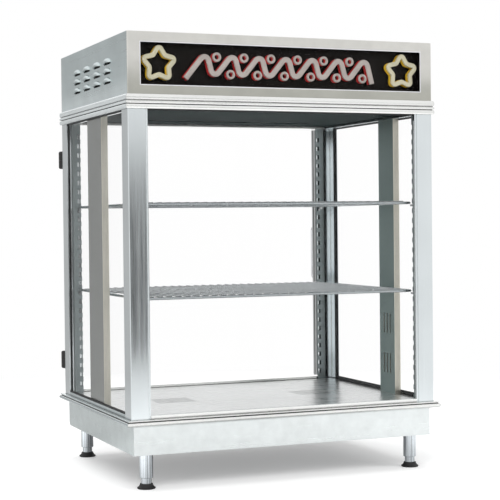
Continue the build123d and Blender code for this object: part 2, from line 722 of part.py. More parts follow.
def sign_limits(lap):
    """X and Z limits of the sign opening, widened all round by a lap."""
    half = HALF_W - SIGN_END_MARGIN + lap
    return (-half, half), (Z_HOOD + SIGN_BOTTOM_MARGIN - lap, Z_TOP - SIGN_TOP_MARGIN + lap)


def hood_covers():
    """Front bezel with the sign opening, and the plain rear cover."""
    open_x, open_z = sign_limits(0)
    bezel = block((-HALF_W, HALF_W), (-HALF_D, -HALF_D + HOOD_FACE), (Z_HOOD, Z_TOP))
    bezel = fillet(bezel.edges().filter_by(Axis.Z).group_by(Axis.Y)[0], HOOD_CORNER_RADIUS)
    bezel -= block(open_x, (-HALF_D - SHEET, 0), open_z)
    save("hood_bezel", bezel)
    cover = block((-HALF_W, HALF_W), (HALF_D - HOOD_FACE, HALF_D), (Z_HOOD, Z_TOP))
    for x, z in cover_screw_places():
        cover -= screw_hole(x, z, HALF_D)
    save("hood_rear_cover", cover)


def sign():
    """Sign window, tray with tube posts, and the bent tubes between them."""
    x, z = sign_limits(SIGN_LAP)
    window_front = -HALF_D + HOOD_FACE
    window_rear = window_front + SIGN_WINDOW
    board_front = window_rear + SIGN_CAVITY
    save("sign_window", block(x, (window_front, window_rear), z))
    tray = block(x, (window_rear, board_front + BACKBOARD), z)
    tray -= block((x[0] + BACKBOARD, x[1] - BACKBOARD), (window_rear, board_front),
                  (z[0] + BACKBOARD, z[1] - BACKBOARD))
    tube_y = board_front - SIGN_STAND_OFF - SIGN_TUBE / 2
    middle_z = (z[0] + z[1]) / 2
    wave = wave_points(tube_y, middle_z)
    centre_tubes = [tube_along(FilletPolyline(*wave, radius=WAVE_BEND_RADIUS), SIGN_TUBE)]
    pegs = [wave[0], wave[-1]]
    ring_path = Circle(RING_RADIUS).wire()
    for low, high, after in zip(wave[1:-2], wave[2:-1], wave[3:]):
        centre = (((low[0] + after[0]) / 2 + high[0]) / 2, tube_y,
                  middle_z + (low[2] - middle_z) * RING_DROP)
        ring = Pos(*centre) * Rot(90, 0, 0) * ring_path
        centre_tubes.append(tube_along(ring, RING_TUBE))
        pegs.append((centre[0], tube_y, centre[2] + RING_RADIUS))
    star_tubes = []
    for sign_x in (-1, 1):
        star = star_points(sign_x * star_centre(), tube_y, middle_z)
        outline = FilletPolyline(*star, radius=STAR_BEND_RADIUS, close=True)
        star_tubes.append(tube_along(outline, STAR_TUBE))
        pegs += [star[STAR_POINTS - 2], star[STAR_POINTS + 2]]
    tubes = centre_tubes + star_tubes
    posts = [rod((peg[0], board_front + BACKBOARD / 2, peg[2]), (peg[0], tube_y, peg[2]),
                 PEG_DIAMETER)
             for peg in pegs]
    save("sign_backboard", tray.fuse(*posts) - tubes)
    save("sign_center_tubes", *centre_tubes)
    save("sign_star_tubes", *star_tubes)


def wave_points(y, middle_z):
    """Corners of a slanted zigzag along the sign, before its bends are rounded."""
    half_length = star_centre() - WAVE_STAR_GAP
    steps = 2 * WAVE_COUNT
    points = []
    for index in range(steps + 1):
        up = 1 if index % 2 else -1
        x = -half_length + index * 2 * half_length / steps + up * WAVE_SLANT / 2
        points.append((x, y, middle_z + up * WAVE_HEIGHT / 2))
    return points


def star_centre():
    """Distance of a star's middle from the middle of the sign."""
    return HALF_W - SIGN_END_MARGIN - STAR_END_GAP


def star_points(x, y, z):
    """Corners of a star outline, before they are rounded."""
    points = []
    for index in range(2 * STAR_POINTS):
        radius = STAR_VALLEY_RADIUS if index % 2 else STAR_POINT_RADIUS
        angle = math.radians(90 + 180 * index / STAR_POINTS)
        points.append((x + radius * math.cos(angle), y, z + radius * math.sin(angle)))
    return points


def ceiling_and_lamps():
    """Ceiling sheet on the rail ledges, with two batten lamps over its slots."""
    half_x = HALF_W - TOP_RAIL_INNER - CEILING_GAP
    half_y = HALF_D - TOP_RAIL_INNER - CEILING_GAP
    low = Z_TOP_RAIL + LEDGE_HEIGHT
    top = low + SHEET
    ceiling = block((-half_x, half_x), (-half_y, half_y), (low, top))
    lamps = []
    for y in (LAMP_FRONT, LAMP_REAR):
        ceiling -= block((-LAMP_LENGTH / 2 + LAMP_CAP, LAMP_LENGTH / 2 - LAMP_CAP),
                         (y - LAMP_SLOT_WIDTH / 2, y + LAMP_SLOT_WIDTH / 2), (low - SHEET, top + SHEET))
        tube_z = top + LAMP_CAP / 2
        lamp = rod((-LAMP_LENGTH / 2, y, tube_z), (LAMP_LENGTH / 2, y, tube_z), LAMP_TUBE)
        for sign_x in (-1, 1):
            cap_x = sorted((sign_x * LAMP_LENGTH / 2, sign_x * (LAMP_LENGTH / 2 - LAMP_CAP)))
            lamp += block(cap_x, (y - LAMP_CAP / 2, y + LAMP_CAP / 2), (top, top + LAMP_CAP))
        lamps.append(lamp)
    save("ceiling_panel", ceiling)
    save("cabinet_lamps", *lamps)
    length, width, height = POWER_SUPPLY_SIZE
    save("sign_power_supply", block((-length / 2, length / 2), (-width / 2, width / 2),
                                    (top, top + height)))


def door():
    """Rear door: an upright stile at each edge, a full-height pane between them and the pull."""
    z = (DOOR_LOW, DOOR_HIGH)
    middle = (DOOR_INNER_Y + DOOR_OUTER_Y) / 2
    pane_half = DOOR_HALF - DOOR_STILE + DOOR_GLASS_GROOVE
    pane = block((-pane_half, pane_half), (middle - DOOR_GLASS / 2, middle + DOOR_GLASS / 2), z)
    stile = block((DOOR_HALF - DOOR_STILE, DOOR_HALF), (DOOR_INNER_Y, DOOR_OUTER_Y), z) - pane
    save("door_stiles", mirror(stile, about=Plane.YZ), stile)
    save("door_glass", pane)
    handle_x = DOOR_HALF - DOOR_STILE / 2
    handle_z = (DOOR_LOW + DOOR_HIGH) / 2
    bar_y = REAR_EXTENT - HANDLE_DIAMETER / 2
    ends = (handle_z - HANDLE_LENGTH / 2, handle_z + HANDLE_LENGTH / 2)
    path = FilletPolyline((handle_x, DOOR_OUTER_Y, ends[0]), (handle_x, bar_y, ends[0]),
                          (handle_x, bar_y, ends[1]), (handle_x, DOOR_OUTER_Y, ends[1]),
                          radius=HANDLE_DIAMETER)
    save("door_handle", tube_along(path, HANDLE_DIAMETER))
    catch_x = (handle_x - CATCH_WIDTH / 2, handle_x + CATCH_WIDTH / 2)
    save("door_catch", block(catch_x, (HALF_D, DOOR_INNER_Y - MOVING_GAP),
                             (handle_z - CATCH_LENGTH / 2, handle_z + CATCH_LENGTH / 2)))


def hinges():
    """Two lift-off hinges: lower knuckle and pin on the post, upper knuckle on the door."""
    post_leaves = []
    door_leaves = []
    pins = []
    half = HINGE_HEIGHT / 2
    for z in (DOOR_LOW + HINGE_RISE, DOOR_HIGH - HINGE_DROP):
        lower = post_cylinder(HINGE_X, HINGE_Y, z - half, z - MOVING_GAP / 2, HINGE_RADIUS)
        lower = fillet(lower.edges().group_by(Axis.Z)[0], HINGE_ROUNDING)
        upper = post_cylinder(HINGE_X, HINGE_Y, z + MOVING_GAP / 2, z + half, HINGE_RADIUS)
        upper = fillet(upper.edges().group_by(Axis.Z)[-1], HINGE_ROUNDING)
        arm_x = (-HALF_W, HINGE_X + HINGE_RADIUS - HINGE_ARM_INSET)
        lower += block(arm_x, (HALF_D, HINGE_Y), (z - half + HINGE_ROUNDING, z - MOVING_GAP / 2))
        lower += block((arm_x[0], -DOOR_HALF - HINGE_PLATE), (HALF_D, HALF_D + HINGE_PLATE),
                       (z - half, z + half))
        pin_span = (z - half + HINGE_ROUNDING, z + half - HINGE_ROUNDING)
        lower -= post_cylinder(HINGE_X, HINGE_Y, pin_span[0], z, HINGE_PIN / 2)
        upper += block((HINGE_X, -DOOR_HALF), (HINGE_Y - HINGE_PLATE, HINGE_Y + HINGE_PLATE),
                       (z + MOVING_GAP / 2, z + half - HINGE_ROUNDING))
        upper += block((-DOOR_HALF - HINGE_PLATE, -DOOR_HALF),
                       (DOOR_INNER_Y + HINGE_PLATE, DOOR_OUTER_Y), (z - half, z + half))
        upper -= post_cylinder(HINGE_X, HINGE_Y, z, pin_span[1] + MOVING_GAP,
                               HINGE_PIN / 2 + RUNNING_FIT)
        post_leaves.append(lower)
        door_leaves.append(upper)
        pins.append(post_cylinder(HINGE_X, HINGE_Y, *pin_span, HINGE_PIN / 2))
    save("post_hinge_leaves", *post_leaves)
    save("door_hinge_leaves", *door_leaves)
    save("hinge_pins", *pins)


def blower_and_heater():
    """Centrifugal blower on the pan: scroll housing, wheel, motor and the rod heater."""
    x = BLOWER_X
    y = BLOWER_Y
    low = PAN_TOP
    high = low + BLOWER_HEIGHT
    wall = BLOWER_WALL
    outlet_y = (y + BLOWER_RADIUS - OUTLET_WIDTH, y + BLOWER_RADIUS)
    outer = post_cylinder(x, y, low, high, BLOWER_RADIUS)
    outer += block((x, x + OUTLET_LENGTH), outlet_y, (low, high))
    inner = post_cylinder(x, y, low + wall, high - wall, BLOWER_RADIUS - wall)
    inner += block((x, x + OUTLET_LENGTH), (outlet_y[0] + wall, outlet_y[1] - wall),
                   (low + wall, high - wall))
    housing = outer - inner
    housing -= post_cylinder(x, y, low - wall, low + wall, BLOWER_INLET_RADIUS)
    wheel_low = low + (BLOWER_HEIGHT - WHEEL_HEIGHT) / 2 - wall
    wheel_high = wheel_low + WHEEL_HEIGHT
    shaft_bore = MOTOR_SHAFT / 2 + RUNNING_FIT
    housing -= post_cylinder(x, y, high - wall, high + wall, shaft_bore + MOVING_GAP)
    wheel = post_cylinder(x, y, wheel_high - wall, wheel_high, WHEEL_RADIUS)
    wheel += post_cylinder(x, y, wheel_high - 3 * wall, wheel_high, WHEEL_HUB_RADIUS)
    ring_inner = WHEEL_RADIUS - BLADE_LENGTH
    ring = post_cylinder(x, y, wheel_low, wheel_low + wall, WHEEL_RADIUS)
    wheel += ring - post_cylinder(x, y, wheel_low - wall, wheel_low + 2 * wall, ring_inner)
    blade_x = WHEEL_RADIUS - BLADE_LENGTH / 2 - BLADE_RIM_GAP
    blade = Pos(blade_x, 0, (wheel_low + wheel_high) / 2) * Rot(0, 0, BLADE_ANGLE) * Box(
        BLADE_LENGTH, BLADE_THICKNESS, WHEEL_HEIGHT - wall)
    blades = [Pos(x, y, 0) * Rot(0, 0, 360 * n / WHEEL_BLADES) * blade for n in range(WHEEL_BLADES)]
    rim = post_cylinder(x, y, wheel_low, wheel_high, WHEEL_RADIUS)
    wheel = wheel.fuse(*blades) & rim
    spindle = post_cylinder(x, y, wheel_high - wall, high + MOTOR_HEIGHT / 2, MOTOR_SHAFT / 2)
    motor = post_cylinder(x, y, high, high + MOTOR_HEIGHT, MOTOR_RADIUS)
    motor -= post_cylinder(x, y, high - wall, high + MOTOR_HEIGHT / 2 + MOVING_GAP, shaft_bore)
    save("blower_wheel", wheel + spindle)
    save("blower_motor", motor)
    heater_z = (low + high) / 2
    start_x = x + OUTLET_LENGTH - 2 * HEATER_MARGIN - HEATER_PASSES * HEATER_PITCH
    side_in = outlet_y[0] + wall + HEATER_MARGIN
    side_out = outlet_y[1] - wall - HEATER_MARGIN
    points = [(start_x, outlet_y[0], heater_z)]
    for index in range(HEATER_PASSES):
        pass_x = start_x + index * HEATER_PITCH
        ends = (side_in, side_out) if index % 2 else (side_out, side_in)
        if index > 0:
            points.append((pass_x, ends[1], heater_z))
        points.append((pass_x, ends[0], heater_z))
    points[-1] = (points[-1][0], outlet_y[0], heater_z)
    element = tube_along(FilletPolyline(*points, radius=HEATER_BEND), HEATER_ROD)
    save("heater_element", element)
    save("blower_housing", housing - element)


def cover_screw_places():
    """X and Z of the rear cover's screws."""
    xs = (-HALF_W + SCREW_INSET, 0, HALF_W - SCREW_INSET)
    zs = (Z_HOOD + SCREW_INSET, Z_TOP - SCREW_INSET)
    return [(x, z) for x in xs for z in zs]


def panel_screw_places():
    """X and Z of the control panel's screws."""
    half = SKIRT_X - SCREW_INSET - SHEET
    z = (Z_SKIRT + SCREW_INSET, Z_LOW_RAIL - SCREW_INSET)
    return [(sign_x * half, height) for sign_x in (-1, 1) for height in z]


def screw_hole(x, z, face):
    """Clearance hole through a rear sheet."""
    return rod((x, face - SCREW_LENGTH, z), (x, face + SHEET, z), SCREW_SHANK + HOLE_CLEARANCE)


def screw(x, z, face):
    """Round-headed screw seated on a rear face."""
    top = face + SCREW_HEAD_HEIGHT
    head = rod((x, face, z), (x, top, z), SCREW_HEAD)
    head = fillet(head.edges().group_by(Axis.Y)[-1], SCREW_ROUNDING)
    head -= Pos(x, top, z) * Box(*SCREW_SLOT)
    middle = face + SCREW_HEAD_HEIGHT / 2
    return head + rod((x, face - SCREW_LENGTH, z), (x, middle, z), SCREW_SHANK)


def switch_parts(x, z, face):
    """Rocker and its body: the rocker is a drum slice that turns in a round pocket."""
    pivot_y = face + SWITCH_FRAME_THICKNESS
    half_width, half_height = SWITCH_FRAME[0] / 2, SWITCH_FRAME[1] / 2
    body = block((x - half_width, x + half_width), (face, pivot_y),
                 (z - half_height, z + half_height))
    half_width -= SWITCH_LIP
    half_height -= SWITCH_LIP
    body += block((x - half_width, x + half_width), (face - SWITCH_BODY_DEPTH, face),
                  (z - half_height, z + half_height))
    pocket = rod((x - ROCKER_WIDTH / 2 - MOVING_GAP, pivot_y, z),
                 (x + ROCKER_WIDTH / 2 + MOVING_GAP, pivot_y, z),
                 2 * (ROCKER_RADIUS + MOVING_GAP))
    drum = rod((x - ROCKER_WIDTH / 2, pivot_y, z), (x + ROCKER_WIDTH / 2, pivot_y, z),
               2 * ROCKER_RADIUS)
    reach = 2 * ROCKER_RADIUS
    for tilt in (-ROCKER_TILT, ROCKER_TILT):
        drum -= Pos(x, pivot_y, z) * Rot(tilt, 0, 0) * Pos(0, ROCKER_RIDGE + reach, 0) * Box(
            reach, 2 * reach, 2 * reach)
    rocker = Pos(x, pivot_y, z) * Rot(-ROCKER_TILT, 0, 0) * Pos(-x, -pivot_y, -z) * drum
    return rocker, body - pocket


def rear_controls():
    """Rear panel of the base with thermostat, two rocker switches, cord inlet and screws."""
    face = SKIRT_Y
    z = Z_SKIRT + PANEL_CENTRE_UP
    panel = block((-SKIRT_X + SHEET, SKIRT_X - SHEET), (face - SHEET, face),
                  (Z_SKIRT, Z_LOW_RAIL - SHEET))
    panel = fillet(panel.edges().filter_by(Axis.Y).group_by(Axis.Z)[0], REAR_CORNER_RADIUS)
    panel -= rod((KNOB_X, face - 2 * SHEET, z), (KNOB_X, face + SHEET, z), 2 * BUSHING_RADIUS)
    length, depth, height = THERMOSTAT_SIZE
    body = block((KNOB_X - length / 2, KNOB_X + length / 2), (face - SHEET - depth, face - SHEET),
                 (z - height / 2, z + height / 2))
    body += rod((KNOB_X, face - SHEET, z), (KNOB_X, face + BUSHING_LENGTH - SHEET, z),
                2 * BUSHING_RADIUS)
    body -= rod((KNOB_X, face - depth / 2, z), (KNOB_X, face + BUSHING_LENGTH, z),
                SPINDLE + 2 * RUNNING_FIT)
    knob_front = face + BUSHING_LENGTH - SHEET + MOVING_GAP
    knob = rod((KNOB_X, knob_front, z), (KNOB_X, knob_front + KNOB_DEPTH, z), 2 * KNOB_RADIUS)
    knob = fillet(knob.edges().group_by(Axis.Y)[-1], KNOB_ROUNDING)
    knob_end = knob_front + KNOB_DEPTH
    knob -= block((KNOB_X - POINTER_WIDTH / 2, KNOB_X + POINTER_WIDTH / 2),
                  (knob_end - POINTER_DEPTH, knob_end), (z + POINTER_START, z + KNOB_RADIUS))
    knob += rod((KNOB_X, face - depth / 2 + MOVING_GAP, z), (KNOB_X, knob_front + SHEET, z), SPINDLE)
    save("thermostat", body)
    save("thermostat_knob", knob)
    bodies = []
    for name, x in (("heat", HEAT_SWITCH_X), ("light", LIGHT_SWITCH_X)):
        rocker, switch_body = switch_parts(x, z, face)
        panel -= switch_body
        half_width = ROCKER_WIDTH / 2 + PANEL_CLEARANCE
        half_height = ROCKER_RADIUS + PANEL_CLEARANCE
        panel -= block((x - half_width, x + half_width), (face - 2 * SHEET, face + SHEET),
                       (z - half_height, z + half_height))
        bodies.append(switch_body)
        save(f"{name}_switch_rocker", rocker)
    save("switch_bodies", *bodies)
    gland = rod((INLET_X, face, z), (INLET_X, face + INLET_LENGTH / 2, z), 2 * INLET_RADIUS)
    gland = fillet(gland.edges().group_by(Axis.Y)[-1], INLET_ROUNDING)
    gland += rod((INLET_X, face - INLET_LENGTH / 2, z), (INLET_X, face, z), 2 * INLET_STEM_RADIUS)
    gland -= rod((INLET_X, face - INLET_LENGTH, z), (INLET_X, face + INLET_LENGTH, z),
                 2 * INLET_BORE_RADIUS)
    panel -= rod((INLET_X, face - SHEET, z), (INLET_X, face, z), 2 * INLET_STEM_RADIUS)
    save("cord_inlet", gland)
    for x, height in panel_screw_places():
        panel -= screw_hole(x, height, face)
    save("control_panel", panel)
    screws = [screw(x, height, face) for x, height in panel_screw_places()]
    screws += [screw(x, height, HALF_D) for x, height in cover_screw_places()]
    save("cover_screws", *screws)


base_skirt()
base_pan()
legs()
bottom_rails()
top_rails()
corner_posts()
glazing()
deck()
save("air_risers", air_riser(-1), air_riser(1))
standards_and_clips()
save("lower_shelf", wire_shelf(LOWER_SHELF_SLOT))
save("upper_shelf", wire_shelf(UPPER_SHELF_SLOT))
hood_shell()
hood_covers()
sign()
ceiling_and_lamps()
door()
hinges()
blower_and_heater()
rear_controls()
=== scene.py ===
"""Looks of the counter-top popcorn warmer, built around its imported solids."""

import logging
import math
from dataclasses import dataclass, field, replace
from enum import Enum
from typing import Callable, ClassVar, Optional, Protocol, Sequence, Union

import bmesh
import bpy
from mathutils import Matrix, Vector

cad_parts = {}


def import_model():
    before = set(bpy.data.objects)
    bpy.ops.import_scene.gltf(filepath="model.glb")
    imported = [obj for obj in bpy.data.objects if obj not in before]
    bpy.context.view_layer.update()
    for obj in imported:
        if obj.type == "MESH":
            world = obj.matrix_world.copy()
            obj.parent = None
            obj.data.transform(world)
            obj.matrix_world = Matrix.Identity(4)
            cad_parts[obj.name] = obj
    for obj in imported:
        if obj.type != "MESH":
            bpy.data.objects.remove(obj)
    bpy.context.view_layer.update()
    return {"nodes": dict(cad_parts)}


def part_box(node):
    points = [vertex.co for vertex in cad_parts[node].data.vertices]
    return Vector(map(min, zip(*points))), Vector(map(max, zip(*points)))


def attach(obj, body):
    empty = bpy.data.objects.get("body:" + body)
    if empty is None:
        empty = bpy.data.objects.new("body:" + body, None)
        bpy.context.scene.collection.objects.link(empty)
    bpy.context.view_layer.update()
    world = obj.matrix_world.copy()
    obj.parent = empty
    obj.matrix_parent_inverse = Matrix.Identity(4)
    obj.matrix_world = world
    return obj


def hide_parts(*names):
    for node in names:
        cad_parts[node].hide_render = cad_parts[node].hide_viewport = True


LOG = logging.getLogger("popcorn_warmer")

Point = tuple[float, float]
Tone = tuple[float, float, float]
Triple = tuple[float, float, float]
Colour = tuple[float, float, float, float]
Node = bpy.types.Node
Socket = bpy.types.NodeSocket
Sockets = Sequence[Socket]
Given = tuple[Socket, ...]
Feed = Union[Socket, float, tuple]

WHITE: Colour = (1.0, 1.0, 1.0, 1.0)
UNIT: Point = (0.0, 1.0)
NOISE_SPAN: Point = (0.3, 0.7)
BODY_HALF: Triple = (0.3555, 0.265, 0.0)
BODY_MIDDLE: Triple = (0.0, -0.0205, 0.0)
SHARP_TURN = math.radians(35.0)


def linear(tone: Tone) -> Colour:
    """Turn a display tone into the linear colour that shaders take.

    Args:
        tone: Red, green and blue from 0 to 255.

    Returns:
        Linear red, green, blue and an alpha of 1.
    """
    parts = [
        value / 255 / 12.92 if value <= 10 else ((value / 255 + 0.055) / 1.055) ** 2.4
        for value in tone
    ]
    return parts[0], parts[1], parts[2], 1.0


def scaled(colour: Colour, factor: float, lift: float = 0.0) -> Colour:
    """Multiply a colour and lift it, up to white.

    Args:
        colour: The linear colour.
        factor: What its parts are multiplied by.
        lift: What is then added.

    Returns:
        The changed colour.
    """
    red, green, blue = (min(1.0, part * factor + lift) for part in colour[:3])
    return red, green, blue, 1.0


class Wiring:
    """Short calls for the nodes of one material, group or world."""

    def __init__(self, tree: bpy.types.NodeTree) -> None:
        """Keep the tree that the nodes go into."""
        self.tree = tree

    def node(self, kind: str, **settings: object) -> Node:
        """Add a node.

        Args:
            kind: Blender's name for the node.
            **settings: Properties set on it.

        Returns:
            The new node.
        """
        made = self.tree.nodes.new(kind)
        for name, value in settings.items():
            setattr(made, name, value)
        return made

    def feed(self, socket: Socket, value: Feed) -> None:
        """Link a socket to another one, or set its own value.

        Args:
            socket: The input.
            value: What it takes.
        """
        if isinstance(value, Socket):
            self.tree.links.new(value, socket)
        elif socket.type == "VECTOR":
            socket.default_value = value[:3]
        else:
            socket.default_value = value

    def fill(self, node: Node, **values: Feed) -> Sockets:
        """Feed a node's inputs by their names.

        Args:
            node: The node.
            **values: What they take, with underscores for spaces.

        Returns:
            The node's outputs.
        """
        for name, value in values.items():
            self.feed(node.inputs[name.replace("_", " ")], value)
        return node.outputs

    def join(self, kind: str, *values: Feed, **settings: object) -> Socket:
        """Add a node and feed its inputs in order.

        Args:
            kind: Blender's name for the node.
            *values: What its inputs take.
            **settings: Properties set on it.

        Returns:
            Its first output.
        """
        made = self.node(kind, **settings)
        for socket, value in zip(made.inputs, values):
            self.feed(socket, value)
        return made.outputs[0]

    def math(self, operation: str, *values: Feed, clamp: bool = False) -> Socket:
        """Result of a Math node, clamped from 0 to 1 on request."""
        return self.join("ShaderNodeMath", *values, operation=operation, use_clamp=clamp)

    def vector(self, operation: str, *values: Feed, output: str = "Vector") -> Socket:
        """Chosen result of a Vector Math node."""
        return self.join("ShaderNodeVectorMath", *values, operation=operation).node.outputs[output]

    def split(self, value: Feed) -> Sockets:
        """Sockets of the three parts of a vector."""
        return self.join("ShaderNodeSeparateXYZ", value).node.outputs

    def remap(self, value: Feed, source: tuple[Feed, Feed], target: Point = UNIT, curve: str = "LINEAR") -> Socket:
        """Value moved from one range to another and clamped at both ends."""
        return self.join("ShaderNodeMapRange", value, *source, *target, interpolation_type=curve)

    def mix(self, factor: Feed, first: Feed, second: Feed, blend: str = "MIX") -> Socket:
        """Mix two colours.

        Args:
            factor: Share of the second one.
            first: Colour at a factor of 0.
            second: Colour at a factor of 1.
            blend: How they are combined.

        Returns:
            The mixed colour's socket.
        """
        made = self.node("ShaderNodeMix", data_type="RGBA", blend_type=blend)
        for index, value in ((0, factor), (6, first), (7, second)):
            self.feed(made.inputs[index], value)
        return made.outputs[2]

    def cover(self, mask: Feed, strength: float, under: Feed, over: Feed) -> Socket:
        """Lay one colour over another where a mask says so, at some strength."""
        return self.mix(self.math("MULTIPLY", mask, strength), under, over)

    def ramp(self, value: Feed, stops: Sequence[Point]) -> Socket:
        """Read a smooth curve of grey levels.

        Args:
            value: Where it is read, from 0 to 1.
            stops: Places and levels, in order.

        Returns:
            The level's socket.
        """
        made = self.node("ShaderNodeValToRGB")
        curve = made.color_ramp
        curve.interpolation = "EASE"
        while len(curve.elements) < len(stops):
            curve.elements.new(0.5)
        for stop, (place, _) in zip(curve.elements, stops):
            stop.position = place
        for stop, (_, level) in zip(curve.elements, stops):
            stop.color = (level, level, level, 1.0)
        self.feed(made.inputs[0], value)
        return made.outputs[0]

    def noise(self, place: Feed, scale: Feed, detail: float, roughness: float = 0.55) -> Socket:
        """Value of a noise texture with some finer layers, read at a place."""
        made = self.node("ShaderNodeTexNoise")
        return self.fill(made, Vector=place, Scale=scale, Detail=detail, Roughness=roughness)[0]

    def object_place(self) -> Socket:
        """Place on the object, in metres, which stays with the piece as it moves."""
        return self.node("ShaderNodeTexCoord").outputs["Object"]


class Effect(Enum):
    """Shader node groups that several finishes share."""

    GRAIN = "brushed_grain"
    WEAR = "edge_wear"
    CREVICE = "crevice_dirt"
    SMUDGE = "wiped_smudges"
    ROUNDING = "rounded_edge"
    STIPPLE = "moulded_stipple"
    MITRE = "mitre_joint_line"
    HEIGHT = "height_shading"


class EffectShelf:
    """Builds each shared node group once and hands it out.

    A maker gets the group's wiring and its input sockets, and returns what its outputs give, in order.
    """

    def __init__(self) -> None:
        """Start with no groups, and know each one's maker, inputs and outputs."""
        self.made: dict[Effect, bpy.types.NodeTree] = {}
        self.kinds: dict[Effect, tuple[Callable, dict[str, Feed], tuple[str, ...]]] = {
            Effect.GRAIN: (self.grain, {"Run": (1.0, 1.0, 1.0), "Cloud Scale": 5.0}, ("Streak", "Cloud")),
            Effect.WEAR: (self.wear, {"Width": 0.001}, ("Mask",)),
            Effect.CREVICE: (self.crevice, {"Reach": 0.006, "From": 0.22, "To": 0.85}, ("Mask",)),
            Effect.SMUDGE: (self.smudge, {"Scale": 14.0}, ("Mask",)),
            Effect.ROUNDING: (self.rounding, {"Radius": 0.0006}, ("Normal",)),
            Effect.STIPPLE: (self.stipple, {"Scale": 900.0}, ("Height", "Mask")),
            Effect.MITRE: (self.mitre, {"Half Size": BODY_HALF}, ("Line",)),
            Effect.HEIGHT: (self.height, {"Low": 0.0, "High": 1.0}, ("Share",)),
        }

    def group(self, effect: Effect) -> bpy.types.NodeTree:
        """Node group of one effect, built when first asked for.

        Args:
            effect: Which effect.

        Returns:
            Its node tree.
        """
        if effect not in self.made:
            tree = bpy.data.node_groups.new(effect.value, "ShaderNodeTree")
            maker, takes, gives = self.kinds[effect]
            for name, value in takes.items():
                kind = "NodeSocketVector" if isinstance(value, tuple) else "NodeSocketFloat"
                tree.interface.new_socket(name=name, in_out="INPUT", socket_type=kind).default_value = value
            for name in gives:
                kind = "NodeSocketVector" if name == "Normal" else "NodeSocketFloat"
                tree.interface.new_socket(name=name, in_out="OUTPUT", socket_type=kind)
            wiring = Wiring(tree)
            results = maker(wiring, wiring.node("NodeGroupInput").outputs)
            for socket, result in zip(wiring.node("NodeGroupOutput").inputs, results):
                wiring.feed(socket, result)
            self.made[effect] = tree
        return self.made[effect]

    def place(self, wiring: Wiring, effect: Effect, **values: Feed) -> Sockets:
        """Put an effect into a material, feed its inputs and give its outputs."""
        return wiring.fill(wiring.node("ShaderNodeGroup", node_tree=self.group(effect)), **values)

    def grain(self, wiring: Wiring, takes: Sockets) -> Given:
        """Long brushed streaks and broad soft clouds."""
        place = wiring.object_place()
        run = wiring.vector("MULTIPLY", place, takes["Run"])
        coarse = wiring.noise(run, 1.0, 5.0, 0.62)
        fine = wiring.noise(wiring.vector("MULTIPLY", run, (5.3, 5.3, 5.3)), 1.0, 2.0)
        blend = wiring.math("MULTIPLY_ADD", fine, 0.35, wiring.math("MULTIPLY", coarse, 0.65))
        cloud = wiring.noise(place, takes["Cloud Scale"], 3.0)
        return wiring.remap(blend, NOISE_SPAN), wiring.remap(cloud, NOISE_SPAN)

    def wear(self, wiring: Wiring, takes: Sockets) -> Given:
        """Edges lightened by rubbing and by a painted highlight, broken up by noise."""
        bevel = wiring.join("ShaderNodeBevel", takes["Width"], samples=4)
        facing = wiring.node("ShaderNodeNewGeometry").outputs["Normal"]
        turn = wiring.vector("DOT_PRODUCT", bevel, facing, output="Value")
        edge = wiring.math("MULTIPLY", wiring.math("SUBTRACT", 1.0, turn), 5.0, clamp=True)
        broken = wiring.remap(wiring.noise(wiring.object_place(), 90.0, 3.0), (0.35, 0.6), (0.35, 1.0))
        return (wiring.math("MULTIPLY", edge, broken),)

    def crevice(self, wiring: Wiring, takes: Sockets) -> Given:
        """Painted shade where surfaces meet and in grooves, from ambient occlusion."""
        hollow = wiring.node("ShaderNodeAmbientOcclusion", samples=6, only_local=False)
        closed = wiring.math("SUBTRACT", 1.0, wiring.fill(hollow, Distance=takes["Reach"])["AO"])
        return (wiring.remap(closed, (takes["From"], takes["To"])),)

    def smudge(self, wiring: Wiring, takes: Sockets) -> Given:
        """Soft wiped patches left by a cloth or a hand."""
        place = wiring.object_place()
        broad = wiring.noise(place, takes["Scale"], 2.0)
        bent = wiring.vector("ADD", place, wiring.vector("MULTIPLY", broad, (0.05, 0.05, 0.05)))
        thin = wiring.noise(bent, wiring.math("MULTIPLY", takes["Scale"], 3.4), 4.0, 0.6)
        return (wiring.remap(thin, (0.42, 0.72)),)

    def rounding(self, wiring: Wiring, takes: Sockets) -> Given:
        """Normal that rounds sharp edges by a small radius."""
        return (wiring.join("ShaderNodeBevel", takes["Radius"], samples=4),)

    def stipple(self, wiring: Wiring, takes: Sockets) -> Given:
        """Fine grain of moulded rubber and plastic, with dusty patches."""
        place = wiring.object_place()
        height = wiring.noise(place, takes["Scale"], 2.0, 0.7)
        return height, wiring.remap(wiring.noise(place, 60.0, 4.0, 0.6), (0.45, 0.75))

    def mitre(self, wiring: Wiring, takes: Sockets) -> Given:
        """Hairline where two rails meet at 45 degrees."""
        reach = wiring.vector("ABSOLUTE", wiring.vector("SUBTRACT", wiring.object_place(), BODY_MIDDLE))
        inset = wiring.split(wiring.vector("SUBTRACT", takes["Half Size"], reach))
        apart = wiring.math("ABSOLUTE", wiring.math("SUBTRACT", inset[0], inset[1]))
        return (wiring.remap(apart, (0.0002, 0.0006), (1.0, 0.0)),)

    def height(self, wiring: Wiring, takes: Sockets) -> Given:
        """Smooth share from 0 at one height to 1 at another."""
        up = wiring.split(wiring.object_place())[2]
        return (wiring.remap(up, (takes["Low"], takes["High"]), curve="SMOOTHSTEP"),)


EFFECTS = EffectShelf()


class Grain(Enum):
    """Direction in which a sheet was brushed or a bar was drawn."""

    ALONG_X = (2.6, 120.0, 120.0)
    ALONG_Y = (120.0, 2.6, 120.0)
    ALONG_Z = (120.0, 120.0, 2.6)


class Finish(Protocol):
    """Anything that can be made into a material under its own name."""

    name: str

    def wire(self, wiring: Wiring, shader: Node, out: Node) -> None:
        """Set the shader's sockets and link what changes over the surface.

        Args:
            wiring: The material's wiring.
            shader: Its Principled node, already joined to the output.
            out: The output.
        """


MADE: dict[str, bpy.types.Material] = {}


